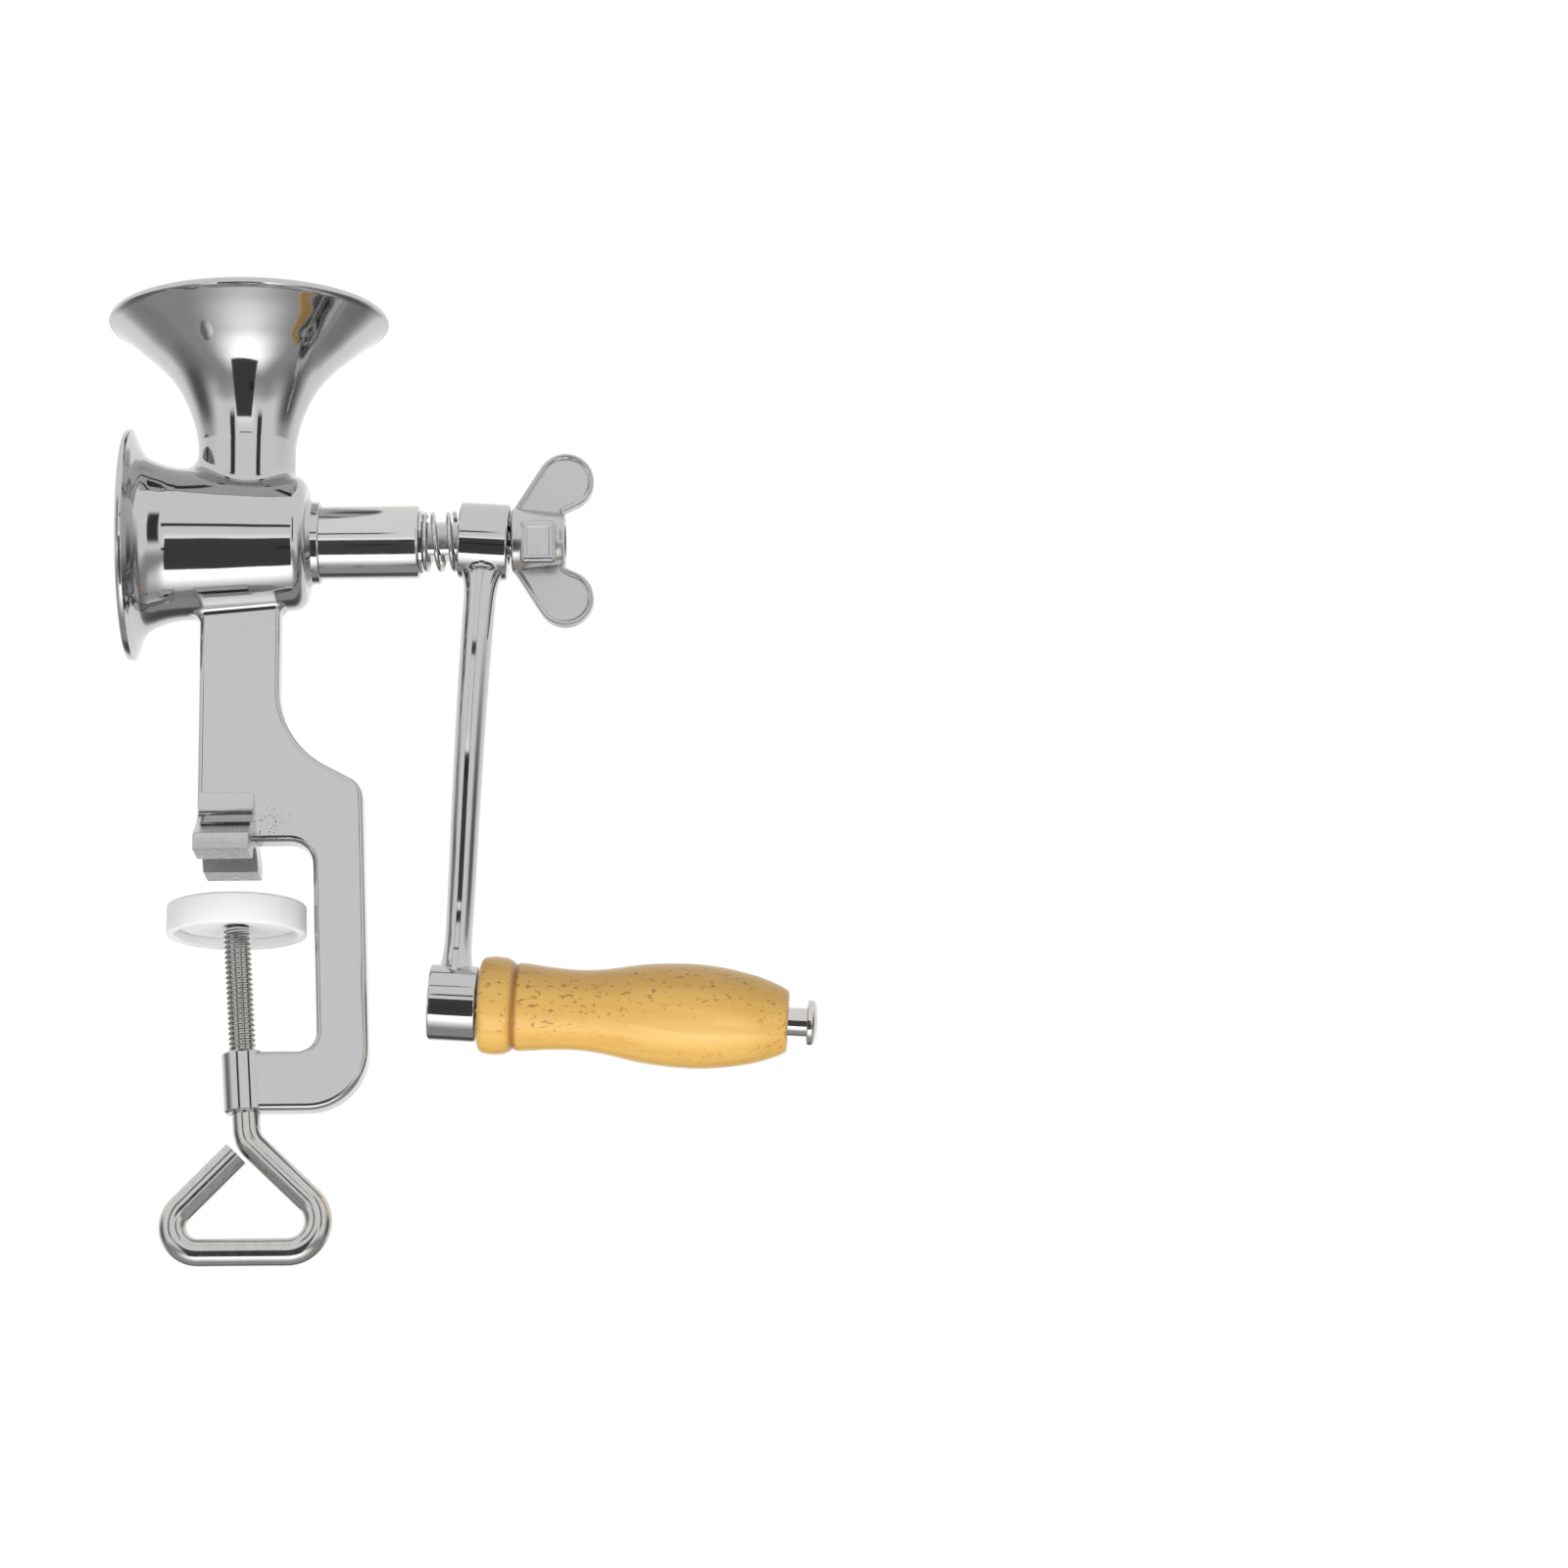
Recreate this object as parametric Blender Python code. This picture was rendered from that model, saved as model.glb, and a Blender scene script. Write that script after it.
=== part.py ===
"""Hand grain mill that clamps on a table edge, modelled as its separate pieces.

+X points from the discharge mouth to the crank, +Z is up, and the table lies on the -X side.
The origin is in the plane of the two foot soles, straight below the middle of the hopper.
"""

import math

import bmesh
import bpy
from mathutils import Matrix, Vector

MM = 0.001

# Heights and places that tie the pieces together
SHAFT_Z = 97.0 * MM
FIT_GAP = 0.3 * MM
MERGE_DISTANCE = 0.0001 * MM
PRESS_GAP = 0.15 * MM
RUNNING_GAP = 0.06 * MM
CUT_OVERRUN = 2.0 * MM
ROUND_STEPS = 44
SMALL_STEPS = 26

# Hopper, cast in one with the body
HOPPER_RIM_R = 41.5 * MM
HOPPER_TOP_Z = 166.5 * MM
HOPPER_BEAD_H = 2.6 * MM
HOPPER_BEAD_ROUND = 1.1 * MM
HOPPER_MOUTH_R = 36.4 * MM
HOPPER_MOUTH_ROUND = 0.8 * MM
NECK_R = 14.35 * MM
NECK_Z = 126.5 * MM
THROAT_R = 11.0 * MM
NECK_FILLET = 4.5 * MM
HOPPER_OUTER_SHARES = (
    (0.93, 0.95), (0.80, 0.885), (0.64, 0.78), (0.48, 0.667), (0.335, 0.54),
    (0.21, 0.41), (0.11, 0.275), (0.04, 0.14), (0.0, 0.0),
)
BOWL_SHARES = (
    (0.86, 0.90), (0.66, 0.78), (0.47, 0.64), (0.30, 0.49), (0.16, 0.34), (0.06, 0.18), (0.0, 0.0),
)

# Barrel and discharge flange
FLANGE_X = -35.0 * MM
FLANGE_R = 34.0 * MM
FLANGE_RIM_T = 2.0 * MM
FLANGE_RIM_ROUND = 0.6 * MM
FLARE_END_X = -19.0 * MM
BARREL_LEFT_R = 22.5 * MM
BARREL_RIGHT_R = 19.8 * MM
BARREL_END_X = 18.5 * MM
BARREL_END_ROUND = 4.6 * MM
FLARE_SHARES = (
    (0.035, 0.90), (0.08, 0.73), (0.145, 0.53), (0.235, 0.345), (0.35, 0.245), (0.52, 0.15), (0.76, 0.045), (1.0, 0.0),
)
BOSS_R = 12.2 * MM
BOSS_LIP_R = 11.5 * MM
BOSS_LENGTH = 3.6 * MM
BOSS_COVE = 1.2 * MM
DISH_R = 30.8 * MM
DISH_DEPTH = 4.4 * MM
DISH_SHARES = ((0.0, 1.0), (0.27, 0.62), (0.62, 0.22), (1.0, 0.0))
POCKET_R = 23.9 * MM
POCKET_FLOOR_X = -28.6 * MM
AUGER_BORE_R = 13.4 * MM
END_WALL_T = 4.3 * MM
SHAFT_HOLE_GAP = 0.5 * MM

# Post, C-frame and feet
PLATE_T = 9.5 * MM
PLATE_ROUND = 1.8 * MM
POST_LEFT_X = -12.8 * MM
POST_RIGHT_X = 10.75 * MM
POST_FILLET = 3.5 * MM
SHOULDER_INNER_Z = 36.3 * MM
SHOULDER_INNER_R = 26.0 * MM
SHOULDER_OUTER_Z = 23.2 * MM
SHOULDER_OUTER_R = 7.0 * MM
SPINE_OUTER_TOP_X = 35.3 * MM
SPINE_OUTER_LOW_X = 38.2 * MM
SPINE_INNER_TOP_X = 20.9 * MM
SPINE_INNER_LOW_X = 22.8 * MM
WEB_Z = 6.3 * MM
WEB_R = 7.0 * MM
JAW_TOP_Z = -55.8 * MM
JAW_LOW_Z = -73.0 * MM
JAW_INNER_R = 5.5 * MM
JAW_OUTER_R = 17.5 * MM
FOOT_REACH = 21.2 * MM
FOOT_TIP_H = 5.0 * MM
FOOT_ROOT_Z = 18.8 * MM
FOOT_ROOT_COVE = 2.2 * MM
FOOT_SLOPE_Z = 16.0 * MM
FOOT_LEFT_X = -12.2 * MM
FOOT_RIGHT_X = 4.0 * MM
FOOT_ROUND = 0.9 * MM
ARCH_HALF = 8.6 * MM
ARCH_H = 5.4 * MM

# Bearing sleeve and its two bushes
SLEEVE_R = 10.7 * MM
SLEEVE_BORE_R = 8.2 * MM
SLEEVE_SEAT = 6.0 * MM
SLEEVE_END_X = 51.2 * MM
SLEEVE_CHAMFER = 0.5 * MM
BUSH_LENGTH = 12.0 * MM
WASHER_R = 9.3 * MM
WASHER_T = 0.8 * MM

# Burrs and what holds them
STATOR_R = 20.1 * MM
STATOR_HOLE_R = 12.0 * MM
STATOR_T = 4.0 * MM
TOOTH_H = 1.35 * MM
GRIND_GAP = 0.5 * MM
TEETH = 32
BREAKERS = 8
BREAKER_R = 14.6 * MM
BREAKER_DROP = 0.9 * MM
TOOTH_SKEW = math.radians(9)
DOWEL_R = 1.25 * MM
DOWEL_LENGTH = 5.6 * MM
DOWEL_CIRCLE_R = 16.8 * MM
ROTOR_R = 23.1 * MM
ROTOR_RIM_T = 2.4 * MM
ROTOR_DOME_H = 1.4 * MM
ROTOR_DOME_SHARES = ((0.94, 0.10), (0.82, 0.36), (0.62, 0.66), (0.36, 0.90), (0.0, 1.0))
ROTOR_FACE_SHARE = 0.45
ROTOR_BACK_SHARE = 0.7
ROTOR_HUB_R = 8.8 * MM
ROTOR_HUB_LENGTH = 7.4 * MM
ROTOR_FLOOR_T = 2.9 * MM
CROSS_PIN_R = 1.5 * MM

# Auger on the drive shaft
AUGER_R = 12.8 * MM
AUGER_HUB_R = 8.8 * MM
AUGER_PITCH = 13.5 * MM
AUGER_ROOT_T = 3.4 * MM
AUGER_TIP_T = 1.8 * MM
AUGER_STEPS_A_TURN = 20

# Drive shaft: round journal, four flats for the crank, threaded end
SHAFT_R = 6.25 * MM
FLATS_ACROSS = 10.0 * MM
FLATS_START_X = 52.6 * MM
THREAD_START_X = 73.2 * MM
THREAD_R = 4.9 * MM
THREAD_CHAMFER = 0.8 * MM

# Coil spring between the bearing sleeve and the crank
SPRING_WIRE_R = 0.7 * MM
SPRING_MEAN_R = 8.2 * MM
SPRING_COILS = 3
SPRING_POINTS_A_COIL = 10
SPRING_WORST_GAP = 0.4 * MM

# Crank: hub, swan-neck arm and eye, which hang a little out of square with the shaft
CRANK_LEAN = math.radians(3.7)
CRANK_X = 70.3 * MM
HUB_R = 11.2 * MM
HUB_LENGTH = 14.6 * MM
CRANK_REACH = 138.7 * MM
EYE_R = 11.0 * MM
EYE_LENGTH = 14.0 * MM
EYE_SHIFT = 0.6 * MM
EYE_COUNTERBORE_R = 7.7 * MM
EYE_COUNTERBORE_DEPTH = 8.4 * MM
ARM_TOP_WIDTH = 9.7 * MM
ARM_LOW_WIDTH = 7.5 * MM
ARM_TOP_DEPTH = 14.0 * MM
ARM_LOW_DEPTH = 11.5 * MM
ARM_BOW = 6.5 * MM
ARM_CROSSING_SHARE = 0.68
ARM_ROOT_FLARE = 3.6 * MM
ARM_FLARE_LENGTH = 9.0 * MM
ARM_RIDGE = 0.5 * MM
ARM_RINGS = 18
ARM_SIDES = 16

# Wooden grip, the bolt that it turns on and its fixings
GRIP_LENGTH = 89.4 * MM
GRIP_GAP = 0.6 * MM
GRIP_R = 15.15 * MM
GRIP_BORE_GAP = 0.2 * MM
GRIP_SHARES = (
    (0.0, 0.80), (0.006, 0.875), (0.02, 0.92), (0.05, 0.938), (0.085, 0.918), (0.105, 0.86),
    (0.116, 0.80), (0.128, 0.835), (0.16, 0.828), (0.23, 0.79), (0.32, 0.768), (0.41, 0.815),
    (0.54, 0.95), (0.675, 1.0), (0.765, 0.972), (0.83, 0.915), (0.90, 0.825), (0.96, 0.70),
    (0.99, 0.62), (1.0, 0.56),
)
PIN_R = 4.1 * MM
PIN_HEAD_R = 6.55 * MM
PIN_HEAD_RIM_T = 1.3 * MM
PIN_HEAD_DOME = 1.6 * MM
PIN_PLAY = 5.6 * MM
PIN_THREAD_R = 3.0 * MM
PIN_THREAD_END = 1.4 * MM
PIN_NUT_ACROSS = 10.0 * MM
PIN_NUT_T = 4.6 * MM
PIN_WASHER_R = 5.8 * MM
PIN_WASHER_T = 1.5 * MM

# Wing nut
NUT_BASE_R = 9.7 * MM
NUT_END_R = 8.1 * MM
NUT_LENGTH = 15.6 * MM
NUT_CHAMFER = 0.8 * MM
WING_SPAN = 52.2 * MM
WING_LOBE_R = 8.3 * MM
WING_LOBE_X = 15.7 * MM
WING_ROOT_R = 7.0 * MM
WING_T = 4.4 * MM
WING_BORDER = 1.4 * MM
WING_RECESS = 0.5 * MM
WING_ROUND = 0.5 * MM
WING_HEEL_R = 9.0 * MM

# Table clamp: leaning screw with a bent handle, swivel pad
SCREW_LEAN = math.radians(3.5)
PIVOT_X = -1.2 * MM
PIVOT_Z = -17.0 * MM
SCREW_R = 4.0 * MM
SCREW_NECK_R = 2.7 * MM
SCREW_TIP = 3.2 * MM
CLAMP_BOSS_R = 6.2 * MM
CLAMP_BOSS_ROUND = 0.9 * MM
PAD_R = 20.3 * MM
PAD_TOP = 5.0 * MM
PAD_H = 9.0 * MM
PAD_ROUND = 1.0 * MM
PAD_WALL = 2.4 * MM
PAD_CAP_T = 3.5 * MM
PAD_POCKET_R = 7.0 * MM
PAD_POCKET_H = 2.0 * MM
PLATE_R_GAP = 0.3 * MM
SWIVEL_T = 2.2 * MM
SWIVEL_HOLE_R = 3.5 * MM
RING_R = 4.8 * MM
RING_T = 0.9 * MM
RING_PLAY = 0.5 * MM
HANDLE_BEND_Z = -81.2 * MM
HANDLE_LOW_Z = -113.7 * MM
HANDLE_RIGHT_X = 36.5 * MM
HANDLE_LEFT_X = -28.8 * MM
HANDLE_CORNER_R = 8.8 * MM
HANDLE_LEFT_R = 7.4 * MM
HANDLE_TOP_R = 8.0 * MM
HANDLE_END_X = -0.5 * MM
HANDLE_END_Z = -85.1 * MM
ROD_SIDES = 14

# What follows from the sizes above
HUB_LEFT_X = CRANK_X - HUB_LENGTH / 2
SLEEVE_START_X = BARREL_END_X + BOSS_LENGTH - SLEEVE_SEAT
ROTOR_FACE_X = POCKET_FLOOR_X + FIT_GAP - GRIND_GAP - TOOTH_H
STATOR_FACE_X = POCKET_FLOOR_X + FIT_GAP + TOOTH_H
STATOR_BACK_X = STATOR_FACE_X + STATOR_T
ROTOR_BACK_X = ROTOR_FACE_X - ROTOR_RIM_T
ROTOR_FLOOR_X = ROTOR_BACK_X - ROTOR_DOME_H + ROTOR_FLOOR_T
AUGER_START_X = ROTOR_FACE_X + ROTOR_HUB_LENGTH + FIT_GAP
BORE_END_X = BARREL_END_X - END_WALL_T
AUGER_END_X = BORE_END_X - FIT_GAP
WASHER_X = SLEEVE_END_X + FIT_GAP / 2
NUT_X = HUB_LEFT_X + HUB_LENGTH + HUB_R * math.sin(CRANK_LEAN) + FIT_GAP / 2
SHAFT_END_X = NUT_X + NUT_LENGTH - THREAD_CHAMFER
ROTOR_PIN_X = ROTOR_FACE_X + ROTOR_HUB_LENGTH / 2
AUGER_PIN_X = AUGER_END_X - AUGER_HUB_R / 2
SCREW_UP = Vector((-math.sin(SCREW_LEAN), 0, math.cos(SCREW_LEAN)))
PIVOT = Vector((PIVOT_X, 0, PIVOT_Z))
CRANK_FRAME = Matrix.Translation((CRANK_X, 0, SHAFT_Z)) @ Matrix.Rotation(CRANK_LEAN, 4, "Y")
SHAFT_FRAME = Matrix.Translation((0, 0, SHAFT_Z)) @ Matrix.Rotation(math.pi / 2, 4, "Y")


def clear_scene():
    for obj in list(bpy.data.objects):
        bpy.data.objects.remove(obj, do_unlink=True)


def material(name, colour, roughness, metallic):
    """The material of this name, made the first time it is asked for."""
    made = bpy.data.materials.get(name)
    if made:
        return made
    made = bpy.data.materials.new(name)
    made.use_nodes = True
    shader = made.node_tree.nodes["Principled BSDF"]
    shader.inputs["Base Color"].default_value = (*colour, 1)
    shader.inputs["Roughness"].default_value = roughness
    shader.inputs["Metallic"].default_value = metallic
    return made


def polished_steel():
    return material("polished cast steel", (0.76, 0.76, 0.77), 0.12, 1)


def turned_steel():
    return material("turned steel", (0.70, 0.70, 0.71), 0.25, 1)


def burr_steel():
    return material("hardened burr steel", (0.50, 0.50, 0.51), 0.4, 1)


def bronze():
    return material("sintered bronze", (0.62, 0.43, 0.22), 0.45, 1)


def spring_steel():
    return material("spring steel", (0.62, 0.62, 0.64), 0.3, 1)


def satin_cast():
    return material("satin cast zinc", (0.60, 0.60, 0.62), 0.42, 1)


def beech():
    return material("varnished beech", (0.74, 0.50, 0.22), 0.4, 0)


def milky_plastic():
    return material("milky plastic", (0.90, 0.90, 0.88), 0.45, 0)


def add_object(name, shape, finish, helper=False):
    """An object from a bmesh. A helper is a cutter or an added form, which is no piece of its own."""
    mesh = bpy.data.meshes.new(name)
    bmesh.ops.recalc_face_normals(shape, faces=shape.faces)
    shape.to_mesh(mesh)
    shape.free()
    mesh.shade_smooth()
    mesh.set_sharp_from_angle(angle=math.radians(35))
    mesh.materials.append(finish)
    obj = bpy.data.objects.new(name, mesh)
    bpy.context.scene.collection.objects.link(obj)
    if helper:
        obj.hide_render = True
        obj.display_type = "WIRE"
    return obj


def combine(obj, other, operation, solver="EXACT"):
    """Joins the other object to this one, or cuts it out, with a Boolean modifier."""
    change = obj.modifiers.new(operation.title() + " " + other.name, "BOOLEAN")
    change.operation = operation
    change.object = other
    change.solver = solver


def round_edges(obj, width, segments=2):
    change = obj.modifiers.new("Rounded edges", "BEVEL")
    change.width = width
    change.segments = segments
    change.limit_method = "ANGLE"
    change.angle_limit = math.radians(40)
    change.use_clamp_overlap = True


def turned(profile, steps, frame=None, ring=False):
    """A turned shape from (along, radius) points. A ring's profile closes on itself."""
    shape = bmesh.new()
    verts = [shape.verts.new((radius, 0, along)) for along, radius in profile]
    pairs = list(zip(verts, verts[1:]))
    if ring:
        pairs.append((verts[-1], verts[0]))
    edges = [shape.edges.new(pair) for pair in pairs]
    bmesh.ops.spin(shape, geom=verts + edges, cent=(0, 0, 0), axis=(0, 0, 1),
                   angle=2 * math.pi, steps=steps, use_merge=True)
    bmesh.ops.remove_doubles(shape, verts=shape.verts, dist=MERGE_DISTANCE)
    bmesh.ops.transform(shape, matrix=frame or Matrix(), verts=shape.verts)
    return shape


def on_shaft(profile, steps=ROUND_STEPS, ring=False):
    """A turned shape on the shaft's axis, whose profile gives world X and radius."""
    return turned(profile, steps, SHAFT_FRAME, ring)


def rod(start, end, radius, steps=SMALL_STEPS):
    """A plain round bar between two points."""
    along = Vector(end) - Vector(start)
    frame = Matrix.Translation(start) @ along.to_track_quat("Z", "Y").to_matrix().to_4x4()
    return turned([(along.length, 0), (along.length, radius), (0, radius), (0, 0)], steps, frame)


def lofted(rings):
    """A closed skin over rings of as many points each, with a flat cap at both ends."""
    shape = bmesh.new()
    loops = [[shape.verts.new(point) for point in ring] for ring in rings]
    count = len(loops[0])
    for one, other in zip(loops, loops[1:]):
        for i in range(count):
            j = (i + 1) % count
            shape.faces.new((one[i], one[j], other[j], other[i]))
    shape.faces.new(loops[0])
    shape.faces.new(loops[-1])
    return shape


def prism(outline, low, high, place):
    """A flat outline given thickness. place turns (u, v, depth) into a point."""
    rings = [[place(u, v, depth) for u, v in outline] for depth in (low, high)]
    return lofted(rings)


def rounded_path(corners, closed=True, turn=math.radians(15)):
    """Points along straight runs whose corners, given as (u, v, radius), are arcs."""
    points = []
    count = len(corners)
    for i, (u, v, radius) in enumerate(corners):
        here = Vector((u, v))
        if radius == 0 or (not closed and i in (0, count - 1)):
            points.append(here)
            continue
        before = (Vector(corners[i - 1][:2]) - here).normalized()
        after = (Vector(corners[(i + 1) % count][:2]) - here).normalized()
        half = before.angle(after) / 2
        centre = here + (before + after).normalized() * radius / math.sin(half)
        start = here + before * radius / math.tan(half) - centre
        end = here + after * radius / math.tan(half) - centre
        sweep = start.angle_signed(end)
        steps = max(2, math.ceil(abs(sweep) / turn))
        for k in range(steps + 1):
            points.append(centre + Matrix.Rotation(-sweep * k / steps, 2) @ start)
    return points


def share_profile(shares, start, span, from_radius, to_radius):
    """Profile points from shares of a radius span and of a length."""
    return [(start + span * along, from_radius + (to_radius - from_radius) * radius)
            for radius, along in shares]


def barrel_profile():
    """World X and radius of the barrel's outside, from the flange's face to the sleeve boss."""
    flare_x = FLANGE_X + FLANGE_RIM_T
    flare = [(flare_x + (FLARE_END_X - flare_x) * along, BARREL_LEFT_R + (FLANGE_R - BARREL_LEFT_R) * out)
             for along, out in FLARE_SHARES]
    corner = rounded_path([
        (FLARE_END_X, BARREL_LEFT_R, 0),
        (BARREL_END_X, BARREL_RIGHT_R, BARREL_END_ROUND),
        (BARREL_END_X, BOSS_R + BOSS_COVE, 0),
    ], closed=False, turn=math.radians(20))
    return (
        [(FLANGE_X, FLANGE_R - FLANGE_RIM_ROUND), (FLANGE_X + FLANGE_RIM_ROUND, FLANGE_R),
         (FLANGE_X + FLANGE_RIM_T - FLANGE_RIM_ROUND, FLANGE_R)]
        + flare + [tuple(point) for point in corner[1:]]
        + [(BARREL_END_X + BOSS_COVE, BOSS_R), (BARREL_END_X + BOSS_LENGTH, BOSS_LIP_R)]
    )


def barrel_radius(x):
    """The barrel's outside radius at world X."""
    profile = barrel_profile()
    for (x0, r0), (x1, r1) in zip(profile, profile[1:]):
        if x0 <= x <= x1 and x1 > x0:
            return r0 + (r1 - r0) * (x - x0) / (x1 - x0)
    return profile[-1][1]


def meet_barrel(point, outward, radius, upward):
    """Where a fillet of this radius, leaving a wall at a plan point, runs out on the barrel.

    It gives the sweep of the fillet's arc and the height above the shaft where it ends."""
    sweep = math.pi / 2
    height = 0
    for _ in range(6):
        x, y = point + outward * radius * (1 - math.cos(sweep))
        around = barrel_radius(x)
        y = min(abs(y), around * math.sin(math.radians(80)))
        height = math.sqrt(around * around - y * y)
        fall = abs(outward.y) * y / height
        sweep = math.pi / 2 - math.atan(fall)
    return sweep, height * (1 if upward else -1)


def fillet_rings(outline, radius, upward, steps=5, sink=PRESS_GAP):
    """Rings that lead from a wall on a plan outline, in a fillet, onto the barrel.

    outline is a list of (plan point, outward direction). The rings start on the wall."""
    rings = [[] for _ in range(steps + 1)]
    side = 1 if upward else -1
    for point, outward in outline:
        sweep, height = meet_barrel(point, outward, radius, upward)
        for k in range(steps + 1):
            t = sweep * k / steps
            x, y = point + outward * (radius * (1 - math.cos(t)) - sink)
            z = SHAFT_Z + height + side * (radius * (math.sin(sweep) - math.sin(t)) - sink)
            rings[k].append((x, y, z))
    return rings


def circle_outline(radius, steps):
    found = []
    for k in range(steps):
        outward = Vector((math.cos(2 * math.pi * k / steps), math.sin(2 * math.pi * k / steps)))
        found.append((outward * radius, outward))
    return found


def hopper_shape():
    """The hopper's outside and its neck, down through the fillet into the barrel."""
    bead_x = HOPPER_RIM_R
    profile = [
        (HOPPER_TOP_Z, bead_x - HOPPER_BEAD_ROUND),
        (HOPPER_TOP_Z - HOPPER_BEAD_ROUND / 3, bead_x - HOPPER_BEAD_ROUND / 3),
        (HOPPER_TOP_Z - HOPPER_BEAD_ROUND, bead_x),
        (HOPPER_TOP_Z - HOPPER_BEAD_H + HOPPER_BEAD_ROUND / 2, bead_x),
        (HOPPER_TOP_Z - HOPPER_BEAD_H, bead_x - HOPPER_BEAD_ROUND),
    ]
    profile += share_profile(HOPPER_OUTER_SHARES, NECK_Z, HOPPER_TOP_Z - NECK_Z, NECK_R, HOPPER_RIM_R)
    neck = circle_outline(1, ROUND_STEPS)
    rings = [[(*(direction * radius), z) for _, direction in neck] for z, radius in profile]
    rings += fillet_rings(circle_outline(NECK_R, ROUND_STEPS), NECK_FILLET, upward=True, sink=0)
    low = [(*(direction * NECK_R), SHAFT_Z) for _, direction in neck]
    last = [(x, y, z - PRESS_GAP) for x, y, z in rings[-1]]
    return lofted(rings + [last, low])


def post_top_shape():
    """The cove that leads the post's walls into the underside of the barrel."""
    middle = (POST_LEFT_X + POST_RIGHT_X) / 2
    half_x = (POST_RIGHT_X - POST_LEFT_X) / 2
    half_y = PLATE_T / 2
    corners = [(half_x, half_y, PLATE_ROUND), (-half_x, half_y, PLATE_ROUND),
               (-half_x, -half_y, PLATE_ROUND), (half_x, -half_y, PLATE_ROUND)]
    points = rounded_path(corners, turn=math.radians(30))
    outline = []
    for i, point in enumerate(points):
        along = points[(i + 1) % len(points)] - points[i - 1]
        outline.append((point + Vector((middle, 0)), Vector((along.y, -along.x)).normalized()))
    rings = fillet_rings(outline, POST_FILLET, upward=False)
    low = [(x, y, SHAFT_Z - BARREL_LEFT_R - 2 * POST_FILLET) for x, y, _ in rings[0]]
    deep = [(x, y, SHAFT_Z) for x, y, _ in rings[0]]
    return lofted([low] + rings + [deep])


def frame_plate_shape():
    """The flat post and C-frame, as an outline in XZ given the plate's thickness."""
    jaw_x = PIVOT_X + (PIVOT_Z - JAW_LOW_Z) * math.tan(SCREW_LEAN)
    corners = [
        (POST_LEFT_X, SHAFT_Z, 0),
        (POST_RIGHT_X, SHAFT_Z, 0),
        (POST_RIGHT_X, SHOULDER_INNER_Z, SHOULDER_INNER_R),
        (SPINE_OUTER_TOP_X, SHOULDER_OUTER_Z, SHOULDER_OUTER_R),
        (SPINE_OUTER_LOW_X, JAW_LOW_Z, JAW_OUTER_R),
        (jaw_x, JAW_LOW_Z, 0),
        (jaw_x, JAW_TOP_Z, 0),
        (SPINE_INNER_LOW_X, JAW_TOP_Z, JAW_INNER_R),
        (SPINE_INNER_TOP_X, WEB_Z, WEB_R),
        (POST_LEFT_X, WEB_Z, 0),
    ]
    return prism(rounded_path(corners), -PLATE_T / 2, PLATE_T / 2, lambda u, v, d: (u, d, v))


def feet_shape():
    """Two splayed feet with an arch between them, as an outline in YZ."""
    half = [
        (ARCH_HALF, 0), (FOOT_REACH, 0), (FOOT_REACH, FOOT_TIP_H),
        (PLATE_T / 2 + FOOT_ROOT_COVE, FOOT_SLOPE_Z - FOOT_ROOT_COVE),
        (PLATE_T / 2 + FOOT_ROOT_COVE / 3, FOOT_SLOPE_Z),
        (PLATE_T / 2 - PLATE_ROUND / 2, FOOT_ROOT_Z),
    ]
    arch_r = (ARCH_HALF ** 2 + ARCH_H ** 2) / (2 * ARCH_H)
    sweep = math.asin(ARCH_HALF / arch_r)
    steps = 8
    arch = []
    for k in range(1, steps):
        t = sweep * (2 * k / steps - 1)
        arch.append((arch_r * math.sin(t), ARCH_H - arch_r * (1 - math.cos(t))))
    outline = half + [(-u, v) for u, v in reversed(half)] + arch
    return prism(outline, FOOT_LEFT_X, FOOT_RIGHT_X, lambda u, v, d: (d, u, v))


def screw_point(drop):
    """The point on the clamp screw's axis that lies this far below the pad's pivot."""
    return PIVOT - SCREW_UP * drop


def clamp_boss_shape(radius, over):
    """The round nose of the lower jaw that holds the clamp screw, or the hole through it."""
    top = screw_point((PIVOT_Z - JAW_TOP_Z) / math.cos(SCREW_LEAN) - over)
    low = screw_point((PIVOT_Z - JAW_LOW_Z) / math.cos(SCREW_LEAN) + over)
    return rod(low, top, radius, SMALL_STEPS)


def shaft_cavity_shape():
    """The hollow on the shaft's axis: dish, rotor pocket, stator seat, auger bore, sleeve seat."""
    dish = [(FLANGE_X + DISH_DEPTH * deep, POCKET_R + (DISH_R - POCKET_R) * out)
            for deep, out in DISH_SHARES]
    profile = [(FLANGE_X - CUT_OVERRUN, 0), (FLANGE_X - CUT_OVERRUN, DISH_R)] + dish
    profile += [
        (POCKET_FLOOR_X, POCKET_R),
        (POCKET_FLOOR_X, STATOR_R + PRESS_GAP),
        (STATOR_BACK_X + FIT_GAP, STATOR_R + PRESS_GAP),
        (STATOR_BACK_X + FIT_GAP, AUGER_BORE_R),
        (BORE_END_X, AUGER_BORE_R),
        (BORE_END_X, SHAFT_R + SHAFT_HOLE_GAP),
        (SLEEVE_START_X - FIT_GAP, SHAFT_R + SHAFT_HOLE_GAP),
        (SLEEVE_START_X - FIT_GAP, SLEEVE_R + PRESS_GAP),
        (BARREL_END_X + BOSS_LENGTH + CUT_OVERRUN, SLEEVE_R + PRESS_GAP),
        (BARREL_END_X + BOSS_LENGTH + CUT_OVERRUN, 0),
    ]
    return on_shaft(profile)


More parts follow.
